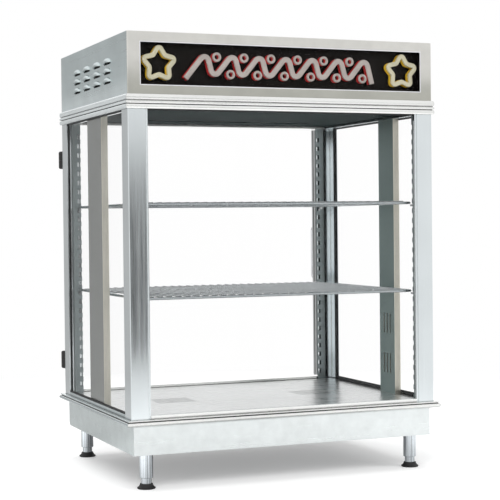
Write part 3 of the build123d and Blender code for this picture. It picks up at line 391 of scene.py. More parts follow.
def material_of(finish: Finish) -> bpy.types.Material:
    """Material of a finish, made when first asked for.

    Args:
        finish: The finish.

    Returns:
        Its material.
    """
    if finish.name not in MADE:
        made = bpy.data.materials.new(finish.name)
        made.use_nodes = True
        made.node_tree.nodes.clear()
        wiring = Wiring(made.node_tree)
        shader = wiring.node("ShaderNodeBsdfPrincipled")
        out = wiring.node("ShaderNodeOutputMaterial")
        wiring.feed(out.inputs["Surface"], shader.outputs[0])
        finish.wire(wiring, shader, out)
        MADE[finish.name] = made
    return MADE[finish.name]


@dataclass(frozen=True)
class BrushedMetal:
    """Sheet or bar with a drawn grain, edges lightened by rubbing and a painted highlight, and painted shade in its
    corners.
    """

    name: str
    tone: Tone
    grain: Grain
    roughness: float = 0.36
    metallic: float = 1.0
    streak: float = 0.05
    cloud: float = 0.05
    cloud_scale: float = 5.0
    dirt: float = 0.55
    dirt_reach: float = 0.006
    dirt_span: Point = (0.22, 0.85)
    dirt_level: float = 0.16
    rub: float = 0.35
    rub_width: float = 0.0009
    rub_gain: float = 1.25
    mitred: bool = False
    mitre_depth: float = 0.7
    side_tone: Optional[Tone] = None
    inner_tone: Optional[Tone] = None
    side_focus: float = 3.0
    foot_tone: Optional[Tone] = None
    foot_span: Point = UNIT

    def wire(self, wiring: Wiring, shader: Node, out: Node) -> None:
        """Vary tone, roughness and relief along the grain."""
        grain = EFFECTS.place(wiring, Effect.GRAIN, Run=self.grain.value, Cloud_Scale=self.cloud_scale)
        streak = wiring.remap(grain["Streak"], UNIT, (1 - self.streak, 1 + self.streak))
        cloud = wiring.remap(grain["Cloud"], UNIT, (1 - self.cloud, 1 + self.cloud))
        level = wiring.math("MULTIPLY", streak, cloud)
        level = wiring.join("ShaderNodeCombineXYZ", level, level, level)
        tone = wiring.vector("MULTIPLY", self.base(wiring), level)
        # Painted shade in creases and grooves, from ambient occlusion.
        start, full = self.dirt_span
        crevice = EFFECTS.place(wiring, Effect.CREVICE, Reach=self.dirt_reach, From=start, To=full)[0]
        dark = scaled(linear(self.tone), self.dirt_level)
        tone = wiring.cover(crevice, self.dirt, tone, dark)
        # Edges lightened by rubbing and by a painted highlight.
        wear = EFFECTS.place(wiring, Effect.WEAR, Width=self.rub_width)[0]
        tone = wiring.cover(wear, self.rub, tone, scaled(linear(self.tone), self.rub_gain))
        if self.mitred:
            tone = wiring.cover(EFFECTS.place(wiring, Effect.MITRE)[0], self.mitre_depth, tone, dark)
        rough = wiring.remap(grain["Streak"], UNIT, (self.roughness - 0.05, self.roughness + 0.06))
        rounded = EFFECTS.place(wiring, Effect.ROUNDING, Radius=0.0005)[0]
        bump = wiring.node("ShaderNodeBump")
        relief = wiring.fill(bump, Strength=0.06, Distance=0.0004, Height=grain["Streak"], Normal=rounded)
        wiring.fill(shader, Base_Color=tone, Metallic=self.metallic, Roughness=rough, Normal=relief[0])

    def base(self, wiring: Wiring) -> Feed:
        """Tone before grain and painted shade, with painted shading low down and on the sides.

        Args:
            wiring: The material's wiring.

        Returns:
            A colour or the socket that gives it.
        """
        base: Feed = linear(self.tone)
        # Painted shading: another tone low down, blending in between two heights.
        if self.foot_tone:
            low, high = self.foot_span
            share = EFFECTS.place(wiring, Effect.HEIGHT, Low=low, High=high)[0]
            base = wiring.mix(share, linear(self.foot_tone), base)
        # Painted light and shade: faces turned outward and inward take their own tones.
        if self.side_tone or self.inner_tone:
            coordinates = wiring.node("ShaderNodeTexCoord").outputs
            side = wiring.math("SIGN", wiring.split(coordinates["Object"])[0])
            outward = wiring.math("MULTIPLY", wiring.split(coordinates["Normal"])[0], side)
            outward = wiring.math("POWER", outward, self.side_focus)
            for tone, direction in ((self.side_tone, 1.0), (self.inner_tone, -1.0)):
                if tone:
                    share = wiring.math("MULTIPLY", outward, direction, clamp=True)
                    base = wiring.mix(share, base, linear(tone))
        return base


@dataclass(frozen=True)
class Polished:
    """Plated or polished metal with faint wiping marks."""

    name: str
    tone: Tone
    roughness: float = 0.09
    marks: float = 0.14
    dirt: float = 0.5
    lines: float = 0.0
    dull_tone: Colour = (0.55, 0.55, 0.55, 1.0)

    def wire(self, wiring: Wiring, shader: Node, out: Node) -> None:
        """Dull the plating where it was wiped, paint shade into its joints and paint reflection bands along a tube.
        """
        smudge = EFFECTS.place(wiring, Effect.SMUDGE, Scale=22.0)[0]
        # Painted shade in joints, from ambient occlusion.
        crevice = EFFECTS.place(wiring, Effect.CREVICE, Reach=0.004)[0]
        dark = scaled(linear(self.tone), 0.2)
        tone = wiring.cover(smudge, 0.12, linear(self.tone), self.dull_tone)
        # Painted reflection bands along a tube.
        if self.lines:
            facing = wiring.node("ShaderNodeTexCoord").outputs["Normal"]
            reflection_bands = wiring.noise(wiring.vector("MULTIPLY", facing, (1.0, 1.0, 0.15)), 5.5, 2.0)
            tone = wiring.cover(wiring.remap(reflection_bands, (0.42, 0.58)), self.lines, tone, dark)
        tone = wiring.cover(crevice, self.dirt, tone, dark)
        rough = wiring.remap(smudge, UNIT, (self.roughness, self.roughness + self.marks))
        rounded = EFFECTS.place(wiring, Effect.ROUNDING, Radius=0.0004)[0]
        wiring.fill(shader, Base_Color=tone, Metallic=1.0, Roughness=rough, Normal=rounded)


@dataclass(frozen=True)
class Moulded:
    """Rubber, plastic or cast paint with a fine grain and a trace of dust."""

    name: str
    tone: Tone
    roughness: float = 0.5
    grain_depth: float = 0.12
    dust: float = 0.12
    specular: float = 0.5
    front_tone: Optional[Tone] = None
    front_edge: float = -0.277
    front_top: float = 0.78

    def wire(self, wiring: Wiring, shader: Node, out: Node) -> None:
        """Lay the grain, lighten the dusty patches, and lighten the edges by rubbing and a painted highlight."""
        stipple = EFFECTS.place(wiring, Effect.STIPPLE, Scale=900.0)
        tone: Feed = linear(self.tone)
        pale = scaled(tone, 1.35, 0.02)
        if self.front_tone:
            _, across, up = wiring.split(wiring.object_place())
            front = wiring.math("LESS_THAN", across, self.front_edge)
            front = wiring.math("MULTIPLY", front, wiring.math("LESS_THAN", up, self.front_top))
            tone = wiring.mix(front, tone, linear(self.front_tone))
        tone = wiring.cover(stipple["Mask"], self.dust, tone, pale)
        # Edges lightened by rubbing and by a painted highlight.
        tone = wiring.cover(EFFECTS.place(wiring, Effect.WEAR, Width=0.0008)[0], 0.4, tone, pale)
        rough = wiring.remap(stipple["Mask"], UNIT, (self.roughness - 0.05, self.roughness + 0.1))
        rounded = EFFECTS.place(wiring, Effect.ROUNDING, Radius=0.0005)[0]
        relief = wiring.fill(wiring.node("ShaderNodeBump"), Strength=self.grain_depth, Distance=0.0003,
                             Height=stipple["Height"], Normal=rounded)
        wiring.fill(shader, Base_Color=tone, Roughness=rough, Specular_IOR_Level=self.specular, Normal=relief[0])


@dataclass(frozen=True)
class ClearSheet:
    """Glass or clear plastic that lets light through to what stands behind it."""

    name: str
    tone: Tone
    index: float

    def wire(self, wiring: Wiring, shader: Node, out: Node) -> None:
        """Clear to shadow and bounce light, with faint wiped patches in its gloss."""
        tone = linear(self.tone)
        smudge = EFFECTS.place(wiring, Effect.SMUDGE, Scale=7.0)[0]
        rough = wiring.remap(smudge, UNIT, (0.0, 0.015))
        wiring.fill(shader, Base_Color=tone, Transmission_Weight=1.0, IOR=self.index, Roughness=rough)
        rays = wiring.node("ShaderNodeLightPath").outputs
        soft = wiring.math("MAXIMUM", rays["Is Shadow Ray"], rays["Is Diffuse Ray"])
        clear = wiring.join("ShaderNodeBsdfTransparent", tone)
        either = wiring.join("ShaderNodeMixShader", soft, shader.outputs[0], clear)
        wiring.feed(out.inputs["Surface"], either)


@dataclass(frozen=True)
class Lacquer:
    """Smooth coloured face of a sign stroke, board or lamp."""

    name: str
    tone: Tone
    roughness: float
    mottle: float = 0.08
    specular: float = 0.5

    def wire(self, wiring: Wiring, shader: Node, out: Node) -> None:
        """Mottle the colour slightly, paint shade into its corners and dull it where it was wiped."""
        base = linear(self.tone)
        cloud = wiring.noise(wiring.object_place(), 45.0, 3.0)
        tone = wiring.mix(wiring.remap(cloud, (0.35, 0.65)), base, scaled(base, 1 - 2 * self.mottle))
        # Painted shade in corners, from ambient occlusion.
        crevice = EFFECTS.place(wiring, Effect.CREVICE, Reach=0.008)[0]
        tone = wiring.cover(crevice, 0.5, tone, scaled(base, 0.35))
        smudge = EFFECTS.place(wiring, Effect.SMUDGE, Scale=18.0)[0]
        rough = wiring.remap(smudge, UNIT, (self.roughness, self.roughness + 0.12))
        rounded = EFFECTS.place(wiring, Effect.ROUNDING, Radius=0.0006)[0]
        wiring.fill(shader, Base_Color=tone, Roughness=rough, Specular_IOR_Level=self.specular, Normal=rounded)


# Front and rear sheets: painted highlight along their edges, and painted shade towards the bottom.
HOOD_FACE = BrushedMetal("hood_face_satin", (219, 218, 213), Grain.ALONG_X, roughness=0.32, streak=0.012,
                         cloud_scale=26.0, rub=0.9, rub_width=0.0016,
                         foot_tone=(184, 184, 176), foot_span=(0.83, 0.91))
# Shell: painted light towards its bottom edge.
HOOD_SIDE = BrushedMetal("hood_side_satin", (213, 224, 225), Grain.ALONG_Y, roughness=0.3, cloud=0.07, streak=0.03,
                         cloud_scale=9.0, foot_tone=(236, 246, 247), foot_span=(0.83, 0.87))
# Rails: strong painted shade in their grooves; the mitre hairlines are real joints.
RAIL_ACROSS = BrushedMetal("rail_satin_across", (238, 239, 237), Grain.ALONG_X, roughness=0.24, streak=0.03,
                           dirt=1.0, dirt_span=(0.16, 0.5), dirt_level=0.07, mitred=True)
# Painted shade on the inner faces of the side rails.
RAIL_ALONG = replace(RAIL_ACROSS, name="rail_satin_along", tone=(236, 243, 244), grain=Grain.ALONG_Y,
                     roughness=0.22, metallic=0.65, inner_tone=(70, 84, 84))
# Painted shade on the outer faces of the low side rails.
LOW_RAIL_ALONG = replace(RAIL_ALONG, name="low_rail_satin_along", metallic=1.0, side_tone=(196, 206, 208))
POST_METAL = BrushedMetal("post_brushed", (221, 227, 229), Grain.ALONG_Z, roughness=0.13, streak=0.03)
# Painted shade on the skirt's side faces.
SKIRT_METAL = BrushedMetal("skirt_brushed", (230, 235, 235), Grain.ALONG_X, roughness=0.3, streak=0.015,
                           cloud_scale=38.0, side_tone=(214, 222, 222))
DECK_METAL = BrushedMetal("deck_brushed", (214, 216, 216), Grain.ALONG_X, roughness=0.28)
# Ducts: painted light on outer faces, painted shade on inner faces and in their creases.
RISER_METAL = BrushedMetal("riser_drawn", (222, 219, 207), Grain.ALONG_Z, roughness=0.42, dirt=0.9,
                           dirt_reach=0.002, side_tone=(244, 250, 250), inner_tone=(134, 150, 148))
GALVANISED = BrushedMetal("galvanised_zinc", (170, 173, 174), Grain.ALONG_X, roughness=0.5, cloud=0.14, streak=0.02)
DOOR_METAL = BrushedMetal("door_stile_satin", (222, 224, 224), Grain.ALONG_Z, roughness=0.3)
STANDARD_METAL = BrushedMetal("standard_zinc", (140, 150, 151), Grain.ALONG_Z, roughness=0.4)
# Ceiling: dark teal painted shade, with little gloss.
CEILING_SHADE = Moulded("ceiling_dark_enamel", (38, 52, 52), roughness=0.75, grain_depth=0.04, specular=0.08)
CHROME = Polished("bright_chrome", (236, 237, 240))
# Leg tubes: painted reflection bands down their sides.
LEG_CHROME = Polished("leg_tube_chrome", (236, 243, 248), roughness=0.1, lines=0.6)
SHELF_CHROME = Polished("shelf_wire_chrome", (168, 174, 176), roughness=0.16)
BRIGHT_STEEL = Polished("polished_steel", (205, 206, 208), roughness=0.2)
RUBBER = Moulded("foot_rubber", (26, 26, 27), roughness=0.62, dust=0.25)
GASKET_RUBBER = Moulded("gasket_rubber", (22, 23, 24), roughness=0.55, dust=0.1, front_tone=(188, 194, 194))
PLASTIC = Moulded("control_plastic", (24, 24, 25), roughness=0.38)
CAST_BLACK = Moulded("hinge_black_cast", (20, 20, 21), roughness=0.42, grain_depth=0.2)
RED_PLASTIC = Moulded("rocker_red_plastic", (176, 24, 22), roughness=0.3, dust=0.05)
SHEATH = Moulded("element_dark_sheath", (58, 52, 48), roughness=0.6)
SUPPLY_CASE = Moulded("supply_case", (40, 42, 44), roughness=0.5)
GLASS = ClearSheet("pane_glass", (255, 255, 255), index=1.1)
SIDE_GLASS = ClearSheet("side_glass", (255, 255, 255), index=1.06)
SIGN_PANE = ClearSheet("sign_pane", (252, 252, 252), index=1.05)
SIGN_BOARD = Lacquer("sign_board_black", (17, 14, 12), roughness=0.4, specular=0.12)
WAVE_FACE = Lacquer("stroke_face_mauve", (196, 186, 180), roughness=0.45)
STAR_FACE = Lacquer("stroke_face_cream", (222, 216, 186), roughness=0.45)
RED_BACKING = Lacquer("backing_red", (186, 34, 34), roughness=0.4)
YELLOW_BACKING = Lacquer("backing_yellow", (222, 180, 40), roughness=0.4)
LAMP_WHITE = Lacquer("lamp_enamel", (240, 240, 236), roughness=0.35)
PRINT_BLACK = Lacquer("print_black", (22, 22, 23), roughness=0.5)
PRINT_WHITE = Lacquer("print_white", (236, 236, 232), roughness=0.5)


class MeshMaker:
    """Collects the faces of one piece and turns them into an object."""

    def __init__(self, name: str) -> None:
        """Start an empty mesh under the piece's name."""
        self.name = name
        self.mesh = bmesh.new()

    def band(
        self, path: Sequence[Point], width: float, depths: Point, closed: bool = False, chamfer: float = 0.0
    ) -> None:
        """Add a flat-faced band that follows a path in an upright plane.

        Args:
            path: X and Z of its middle line.
            width: Its width.
            depths: Y of its front and of its back.
            closed: Whether it runs round to its start.
            chamfer: Size of the bevel along its front edges.
        """
        front, back = depths
        inward = chamfer if back > front else -chamfer
        half = width / 2
        section = (
            (-half, back), (-half, front + inward), (chamfer - half, front),
            (half - chamfer, front), (half, front + inward), (half, back),
        )
        rings = []
        count = len(path)
        for index, (x, z) in enumerate(path):
            before = path[(index - 1) % count] if closed or index else path[0]
            after = path[(index + 1) % count] if closed or index < count - 1 else path[-1]
            along = Vector((after[0] - before[0], after[1] - before[1])).normalized()
            reach = 1.0
            if closed or 0 < index < count - 1:
                first = Vector((x - before[0], z - before[1])).normalized()
                reach = 1 / max(0.5, first.dot(along))
            rings.append([
                self.mesh.verts.new((x - along.y * side * reach, y, z + along.x * side * reach))
                for side, y in section
            ])
        pairs = list(zip(rings, rings[1:]))
        if closed:
            pairs.append((rings[-1], rings[0]))
        size = len(section)
        for first, second in pairs:
            for index in range(size):
                follow = (index + 1) % size
                self.mesh.faces.new((first[index], first[follow], second[follow], second[index]))
        if not closed:
            self.mesh.faces.new(rings[0][::-1])
            self.mesh.faces.new(rings[-1])

    def words(self, text: str, centre: Vector, height: float, depth: float) -> None:
        """Add raised figures that read from behind the warmer.

        Args:
            text: The figures.
            centre: Middle of them, on the surface.
            height: Their height.
            depth: How far they stand out.
        """
        curve = bpy.data.curves.new("figures", "FONT")
        curve.body = text
        curve.size = height
        curve.extrude = depth
        curve.align_x = "CENTER"
        curve.align_y = "CENTER"
        holder = bpy.data.objects.new("figures", curve)
        bpy.context.scene.collection.objects.link(holder)
        bpy.context.view_layer.update()
        shape = bpy.data.meshes.new_from_object(holder)
        upright = Matrix.Rotation(math.pi, 4, "Z") @ Matrix.Rotation(math.pi / 2, 4, "X")
        shape.transform(Matrix.Translation(centre) @ upright)
        self.mesh.from_mesh(shape)
        bpy.data.objects.remove(holder)
        bpy.data.curves.remove(curve)
        bpy.data.meshes.remove(shape)

    def piece(self, finish: Finish) -> bpy.types.Object:
        """Close the mesh, keep its sharp edges sharp and link it to the scene.

        Args:
            finish: What it is made of.

        Returns:
            The finished object.
        """
        bmesh.ops.recalc_face_normals(self.mesh, faces=self.mesh.faces[:])
        for face in self.mesh.faces:
            face.smooth = True
        for edge in self.mesh.edges:
            edge.smooth = len(edge.link_faces) == 2 and edge.calc_face_angle(0.0) < SHARP_TURN
        data = bpy.data.meshes.new(self.name)
        self.mesh.to_mesh(data)
        self.mesh.free()
        data.materials.append(material_of(finish))
        made = bpy.data.objects.new(self.name, data)
        bpy.context.scene.collection.objects.link(made)
        return made


def rounded_path(corners: Sequence[Point], radius: float, closed: bool = False, steps: int = 6) -> list[Point]:
    """Round the corners of a path with arcs.

    Args:
        corners: Its corner points.
        radius: Radius of the bends.
        closed: Whether the last corner joins the first.
        steps: How many straights stand for each arc.

    Returns:
        The points of the rounded path.
    """
    count = len(corners)
    path: list[Point] = []
    for index, corner in enumerate(corners):
        if not closed and index in (0, count - 1):
            path.append(corner)
            continue
        here = Vector(corner)
        back = (Vector(corners[index - 1]) - here).normalized()
        ahead = (Vector(corners[(index + 1) % count]) - here).normalized()
        half = math.acos(max(-1.0, min(1.0, back.dot(ahead)))) / 2
        middle = here + (back + ahead).normalized() * (radius / math.sin(half))
        start = here + back * (radius / math.tan(half)) - middle
        end = here + ahead * (radius / math.tan(half)) - middle
        sweep = start.angle_signed(end)
        for step in range(steps + 1):
            turned = start.copy()
            turned.rotate(Matrix.Rotation(-sweep * step / steps, 2))
            path.append(tuple(middle + turned))
    return path


def oval_path(x: float, z: float, radii: Point, steps: int) -> list[Point]:
    """Closed path round an oval.

    Args:
        x: Its middle.
        z: Its height.
        radii: Half its width and half its height.
        steps: How many straights stand for it.

    Returns:
        The points of the path.
    """
    turns = [math.tau * step / steps for step in range(steps)]
    return [(x + radii[0] * math.cos(turn), z + radii[1] * math.sin(turn)) for turn in turns]


@dataclass
class SubAssembly:
    """A group of pieces that is built and dressed together."""

    nodes: dict[str, bpy.types.Object]
    made: list[str] = field(default_factory=list)
    looks: ClassVar[tuple[tuple[Finish, tuple[str, ...]], ...]] = ()

    def build(self) -> None:
        """Give the group's CAD nodes their finishes."""
        for finish, names in self.looks:
            for name in names:
                node = self.nodes[name]
                if not node.material_slots:
                    node.data.materials.append(None)
                for slot in node.material_slots:
                    slot.material = material_of(finish)
                self.made.append(name)

    def fit(self, piece: bpy.types.Object, body: str, slot: str, *replaced: str) -> None:
        """Fix a new piece to a body.

        Args:
            piece: The piece, already in place.
            body: The CAD body that carries it.
            slot: Not used.
            *replaced: CAD nodes that it stands for.
        """
        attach(piece, body)
        if replaced:
            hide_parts(*replaced)
        self.made.append(piece.name)


@dataclass
class Base(SubAssembly):
    """Skirt, pan, legs and feet."""

    looks = (
        (SKIRT_METAL, ("base_skirt", "control_panel")),
        (GALVANISED, ("base_pan",)),
        (LEG_CHROME, ("leg_tubes", "foot_insert_front_left", "foot_insert_front_right",
                      "foot_insert_rear_left", "foot_insert_rear_right")),
        (RUBBER, ("rubber_foot_front_left", "rubber_foot_front_right",
                  "rubber_foot_rear_left", "rubber_foot_rear_right")),
    )


@dataclass
class Cabinet(SubAssembly):
    """Rails, corner posts and glazing, each bar dressed in the direction that it was drawn."""

    looks = (
        (RAIL_ACROSS, ("top_rail_front", "top_rail_rear", "bottom_rail_front", "bottom_rail_rear")),
        (RAIL_ALONG, ("top_rail_sides",)),
        (LOW_RAIL_ALONG, ("bottom_rail_sides",)),
        (POST_METAL, ("post_front_left", "post_front_right", "post_rear_left", "post_rear_right")),
        (GLASS, ("front_glass",)),
        (SIDE_GLASS, ("left_glass", "right_glass")),
        (GASKET_RUBBER, ("glass_gaskets",)),
    )


@dataclass
class Interior(SubAssembly):
    """Deck, ducts, shelves with their standards, and the ceiling with its lamps."""

    looks = (
        (DECK_METAL, ("deck_panel",)),
        (RISER_METAL, ("air_risers",)),
        (STANDARD_METAL, ("shelf_standards",)),
        (BRIGHT_STEEL, ("shelf_clips",)),
        (SHELF_CHROME, ("lower_shelf", "upper_shelf")),
        (CEILING_SHADE, ("ceiling_panel",)),
        (LAMP_WHITE, ("cabinet_lamps",)),
    )


@dataclass
class Hood(SubAssembly):
    """Folded hood with a bright lip round the sign opening."""

    lip_width: float = 0.0022
    lip_height: float = 0.0009
    lip_sink: float = 0.0005
    lip_radius: float = 0.0012
    lip_chamfer: float = 0.0004
    sign_lap: float = 0.008
    looks = (
        (HOOD_FACE, ("hood_bezel", "hood_rear_cover")),
        (HOOD_SIDE, ("hood_shell",)),
    )

    def build(self) -> None:
        """Dress the sheets and set the lip round the opening."""
        super().build()
        low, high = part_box("sign_window")
        inset = self.sign_lap - self.lip_width / 2
        left, right = low.x + inset, high.x - inset
        bottom, top = low.z + inset, high.z - inset
        corners = [(left, bottom), (right, bottom), (right, top), (left, top)]
        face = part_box("hood_bezel")[0].y
        lip = MeshMaker("hood_sign_lip")
        lip.band(rounded_path(corners, self.lip_radius, closed=True, steps=3), self.lip_width,
                 (face - self.lip_height, face + self.lip_sink), closed=True, chamfer=self.lip_chamfer)
        self.fit(lip.piece(CHROME), "cabinet", "bright_steel")


@dataclass
class Sign(SubAssembly):
    """Slanted wave between two stars, each stroke over a coloured layer on the board."""

    half_length: float = 0.218
    waves: int = 7
    wave_height: float = 0.058
    slant: float = 0.016
    bend: float = 0.0095
    stroke: float = 0.0115
    thickness: float = 0.0035
    face_chamfer: float = 0.0012
    ring_radius: float = 0.0075
    ring_stroke: float = 0.005
    ring_steps: int = 20
    ring_drop: float = 0.62
    star_centre: float = 0.284
    star_points: int = 5
    star_tip: float = 0.039
    star_valley: float = 0.022
    star_stroke: float = 0.010
    star_bend: float = 0.0055
    backing_thickness: float = 0.0025
    backing_chamfer: float = 0.0004
    cavity: float = 0.015
    looks = (
        (SIGN_BOARD, ("sign_backboard",)),
        (SIGN_PANE, ("sign_window",)),
        (SUPPLY_CASE, ("sign_power_supply",)),
    )

    def wave(self, middle: float) -> list[Point]:
        """Corners of the zigzag.

        Args:
            middle: Height of its middle line.

        Returns:
            Its corners from left to right.
        """
        steps = 2 * self.waves
        corners = []
        for index in range(steps + 1):
            up = 1 if index % 2 else -1
            x = -self.half_length + index * 2 * self.half_length / steps + up * self.slant / 2
            corners.append((x, middle + up * self.wave_height / 2))
        return corners

    def rings(self, middle: float) -> list[list[Point]]:
        """Round paths that sit in the bends of the wave.

        Args:
            middle: Height of the wave's middle line.

        Returns:
            One closed path for each ring.
        """
        corners = self.wave(middle)
        paths = []
        for low, high, after in zip(corners[1:-2], corners[2:-1], corners[3:]):
            x = ((low[0] + after[0]) / 2 + high[0]) / 2
            z = middle + (low[1] - middle) * self.ring_drop
            paths.append(oval_path(x, z, (self.ring_radius, self.ring_radius), self.ring_steps))
        return paths

    def star(self, x: float, z: float) -> list[Point]:
        """Outline of one star, with rounded corners.

        Args:
            x: Its middle.
            z: Its height.

        Returns:
            The rounded path.
        """
        corners = []
        for index in range(2 * self.star_points):
            radius = self.star_valley if index % 2 else self.star_tip
            angle = math.radians(90 + 180 * index / self.star_points)
            corners.append((x + radius * math.cos(angle), z + radius * math.sin(angle)))
        return rounded_path(corners, self.star_bend, closed=True)

    def build(self) -> None:
        """Dress the sign's board and pane, and make the strokes and their layers."""
        super().build()
        low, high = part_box("sign_backboard")
        middle = (low.z + high.z) / 2
        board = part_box("sign_window")[1].y + self.cavity
        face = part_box("sign_center_tubes")[0].y
        front = (face, face + self.thickness), self.face_chamfer
        back = (board - self.backing_thickness, board), self.backing_chamfer
        wave = [(rounded_path(self.wave(middle), self.bend), self.stroke, False)]
        wave += [(ring, self.ring_stroke, True) for ring in self.rings(middle)]
        stars = [(self.star(side * self.star_centre, middle), self.star_stroke, True) for side in (-1, 1)]
        for name, bands, (depths, chamfer), finish, slot, replaced in (
            ("sign_wave_strokes", wave, front, WAVE_FACE, "pink_tube", ("sign_center_tubes",)),
            ("sign_red_layer", wave, back, RED_BACKING, "red_plastic", ()),
            ("sign_star_strokes", stars, front, STAR_FACE, "cream_tube", ("sign_star_tubes",)),
            ("sign_yellow_layer", stars, back, YELLOW_BACKING, "cream_tube", ()),
        ):
            maker = MeshMaker(name)
            for path, width, closed in bands:
                maker.band(path, width, depths, closed, chamfer)
            self.fit(maker.piece(finish), "cabinet", slot, *replaced)


@dataclass
class RearDoor(SubAssembly):
    """Glass door between two stiles, with its hinges, pull and catch."""

    looks = (
        (DOOR_METAL, ("door_stiles",)),
        (GLASS, ("door_glass",)),
        (CHROME, ("door_handle",)),
        (CAST_BLACK, ("door_hinge_leaves", "post_hinge_leaves")),
        (BRIGHT_STEEL, ("hinge_pins",)),
        (PLASTIC, ("door_catch",)),
    )


@dataclass
class RearControls(SubAssembly):
    """Thermostat dial, rocker switches and cord gland behind the base."""

    dial_marks: int = 7
    dial_start: float = 225.0
    dial_sweep: float = 270.0
    mark_radius: float = 0.0195
    mark_reach: float = 0.001
    mark_width: float = 0.0006
    figure_radius: float = 0.0245
    figure_height: float = 0.0045
    print_proud: float = 0.0002
    print_sunk: float = 0.0001
    ring_radii: Point = (0.0013, 0.0016)
    ring_width: float = 0.0005
    ring_drop: float = 0.0055
    ring_steps: int = 16
    bar_span: Point = (0.0040, 0.0070)
    ridge: float = 0.0015
    rocker_sunk: float = 0.0012
    looks = (
        (PLASTIC, ("thermostat", "thermostat_knob", "switch_bodies", "cord_inlet")),
        (RED_PLASTIC, ("heat_switch_rocker", "light_switch_rocker")),
        (BRIGHT_STEEL, ("cover_screws",)),
    )

    def build(self) -> None:
        """Dress the controls and print their scale and marks."""
        super().build()
        self.print_scale()
        for name in ("heat", "light"):
            self.print_rocker(name)

    def print_scale(self) -> None:
        """Print the numbered scale round the dial."""
        low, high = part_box("thermostat_knob")
        centre = (low + high) / 2
        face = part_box("control_panel")[1].y
        scale = MeshMaker("dial_scale")
        for index in range(self.dial_marks):
            angle = math.radians(self.dial_start - index * self.dial_sweep / (self.dial_marks - 1))
            across = Vector((-math.cos(angle), 0, math.sin(angle)))
            start = centre + across * (self.mark_radius - self.mark_reach)
            end = centre + across * (self.mark_radius + self.mark_reach)
            scale.band([(start.x, start.z), (end.x, end.z)], self.mark_width,
                       (face + self.print_proud, face - self.print_sunk))
            place = centre + across * self.figure_radius
            scale.words(str(index), Vector((place.x, face + self.print_sunk, place.z)),
                        self.figure_height, self.print_sunk)
        self.fit(scale.piece(PRINT_BLACK), "cabinet", "black_plastic")

    def print_rocker(self, name: str) -> None:
        """Print a ring and a bar on one rocker, just under its highest ridge.

        Args:
            name: What the rocker switches.
        """
        low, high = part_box(f"{name}_switch_rocker")
        middle = (low + high) / 2
        top = high.y - self.ridge
        depths = (top + self.print_proud, top - self.rocker_sunk)
        marks = MeshMaker(f"{name}_rocker_marks")
        ring = oval_path(middle.x, middle.z - self.ring_drop, self.ring_radii, self.ring_steps)
        marks.band(ring, self.ring_width, depths, closed=True)
        marks.band([(middle.x, middle.z + end) for end in self.bar_span], self.mark_width, depths)
        self.fit(marks.piece(PRINT_WHITE), f"{name}_rocker", "red_plastic")


@dataclass
class AirSystem(SubAssembly):
    """Blower and heater in the base."""

    looks = (
        (GALVANISED, ("blower_housing", "blower_wheel")),
        (CAST_BLACK, ("blower_motor",)),
        (SHEATH, ("heater_element",)),
    )


@dataclass(frozen=True)
class PhotoCamera:
    """Camera that stands where the photograph was taken."""

    location: Triple = (-1.2290, -3.0908, 0.5573)
    yaw: float = 0.3865
    pitch: float = 0.0197
    roll: float = -0.0108
    lens: float = 102.4
    sensor: float = 36.0
    sight: float = 60.0

    def build(self) -> None:
        """Make the camera and hand it to the scene."""
        flat = math.cos(self.pitch)
        forward = Vector((math.sin(self.yaw) * flat, math.cos(self.yaw) * flat, -math.sin(self.pitch)))
        side = Vector((math.cos(self.yaw), -math.sin(self.yaw), 0.0))
        up = side.cross(forward)
        right = math.cos(self.roll) * side + math.sin(self.roll) * up
        above = math.cos(self.roll) * up - math.sin(self.roll) * side
        turn = Matrix((right, above, -forward)).transposed().to_4x4()
        data = bpy.data.cameras.new("photo_camera")
        data.lens = self.lens
        data.sensor_width = self.sensor
        data.clip_end = self.sight
        camera = bpy.data.objects.new("photo_camera", data)
        camera.matrix_world = Matrix.Translation(self.location) @ turn
        bpy.context.scene.collection.objects.link(camera)
        bpy.context.scene.camera = camera


@dataclass(frozen=True)
class SoftBox:
    """One large soft lamp."""

    name: str
    place: Triple
    size: Point
    power: float

    def build(self, target: Vector) -> None:
        """Hang the lamp and aim it.

        Args:
            target: What it points at.
        """
        data = bpy.data.lights.new(self.name, "AREA")
        data.shape = "RECTANGLE"
        data.size, data.size_y = self.size
        data.energy = self.power
        lamp = bpy.data.objects.new(self.name, data)
        lamp.location = self.place
        lamp.rotation_euler = (target - Vector(self.place)).to_track_quat("-Z", "Y").to_euler()
        lamp.visible_glossy = False
        lamp.visible_transmission = False
        bpy.context.scene.collection.objects.link(lamp)


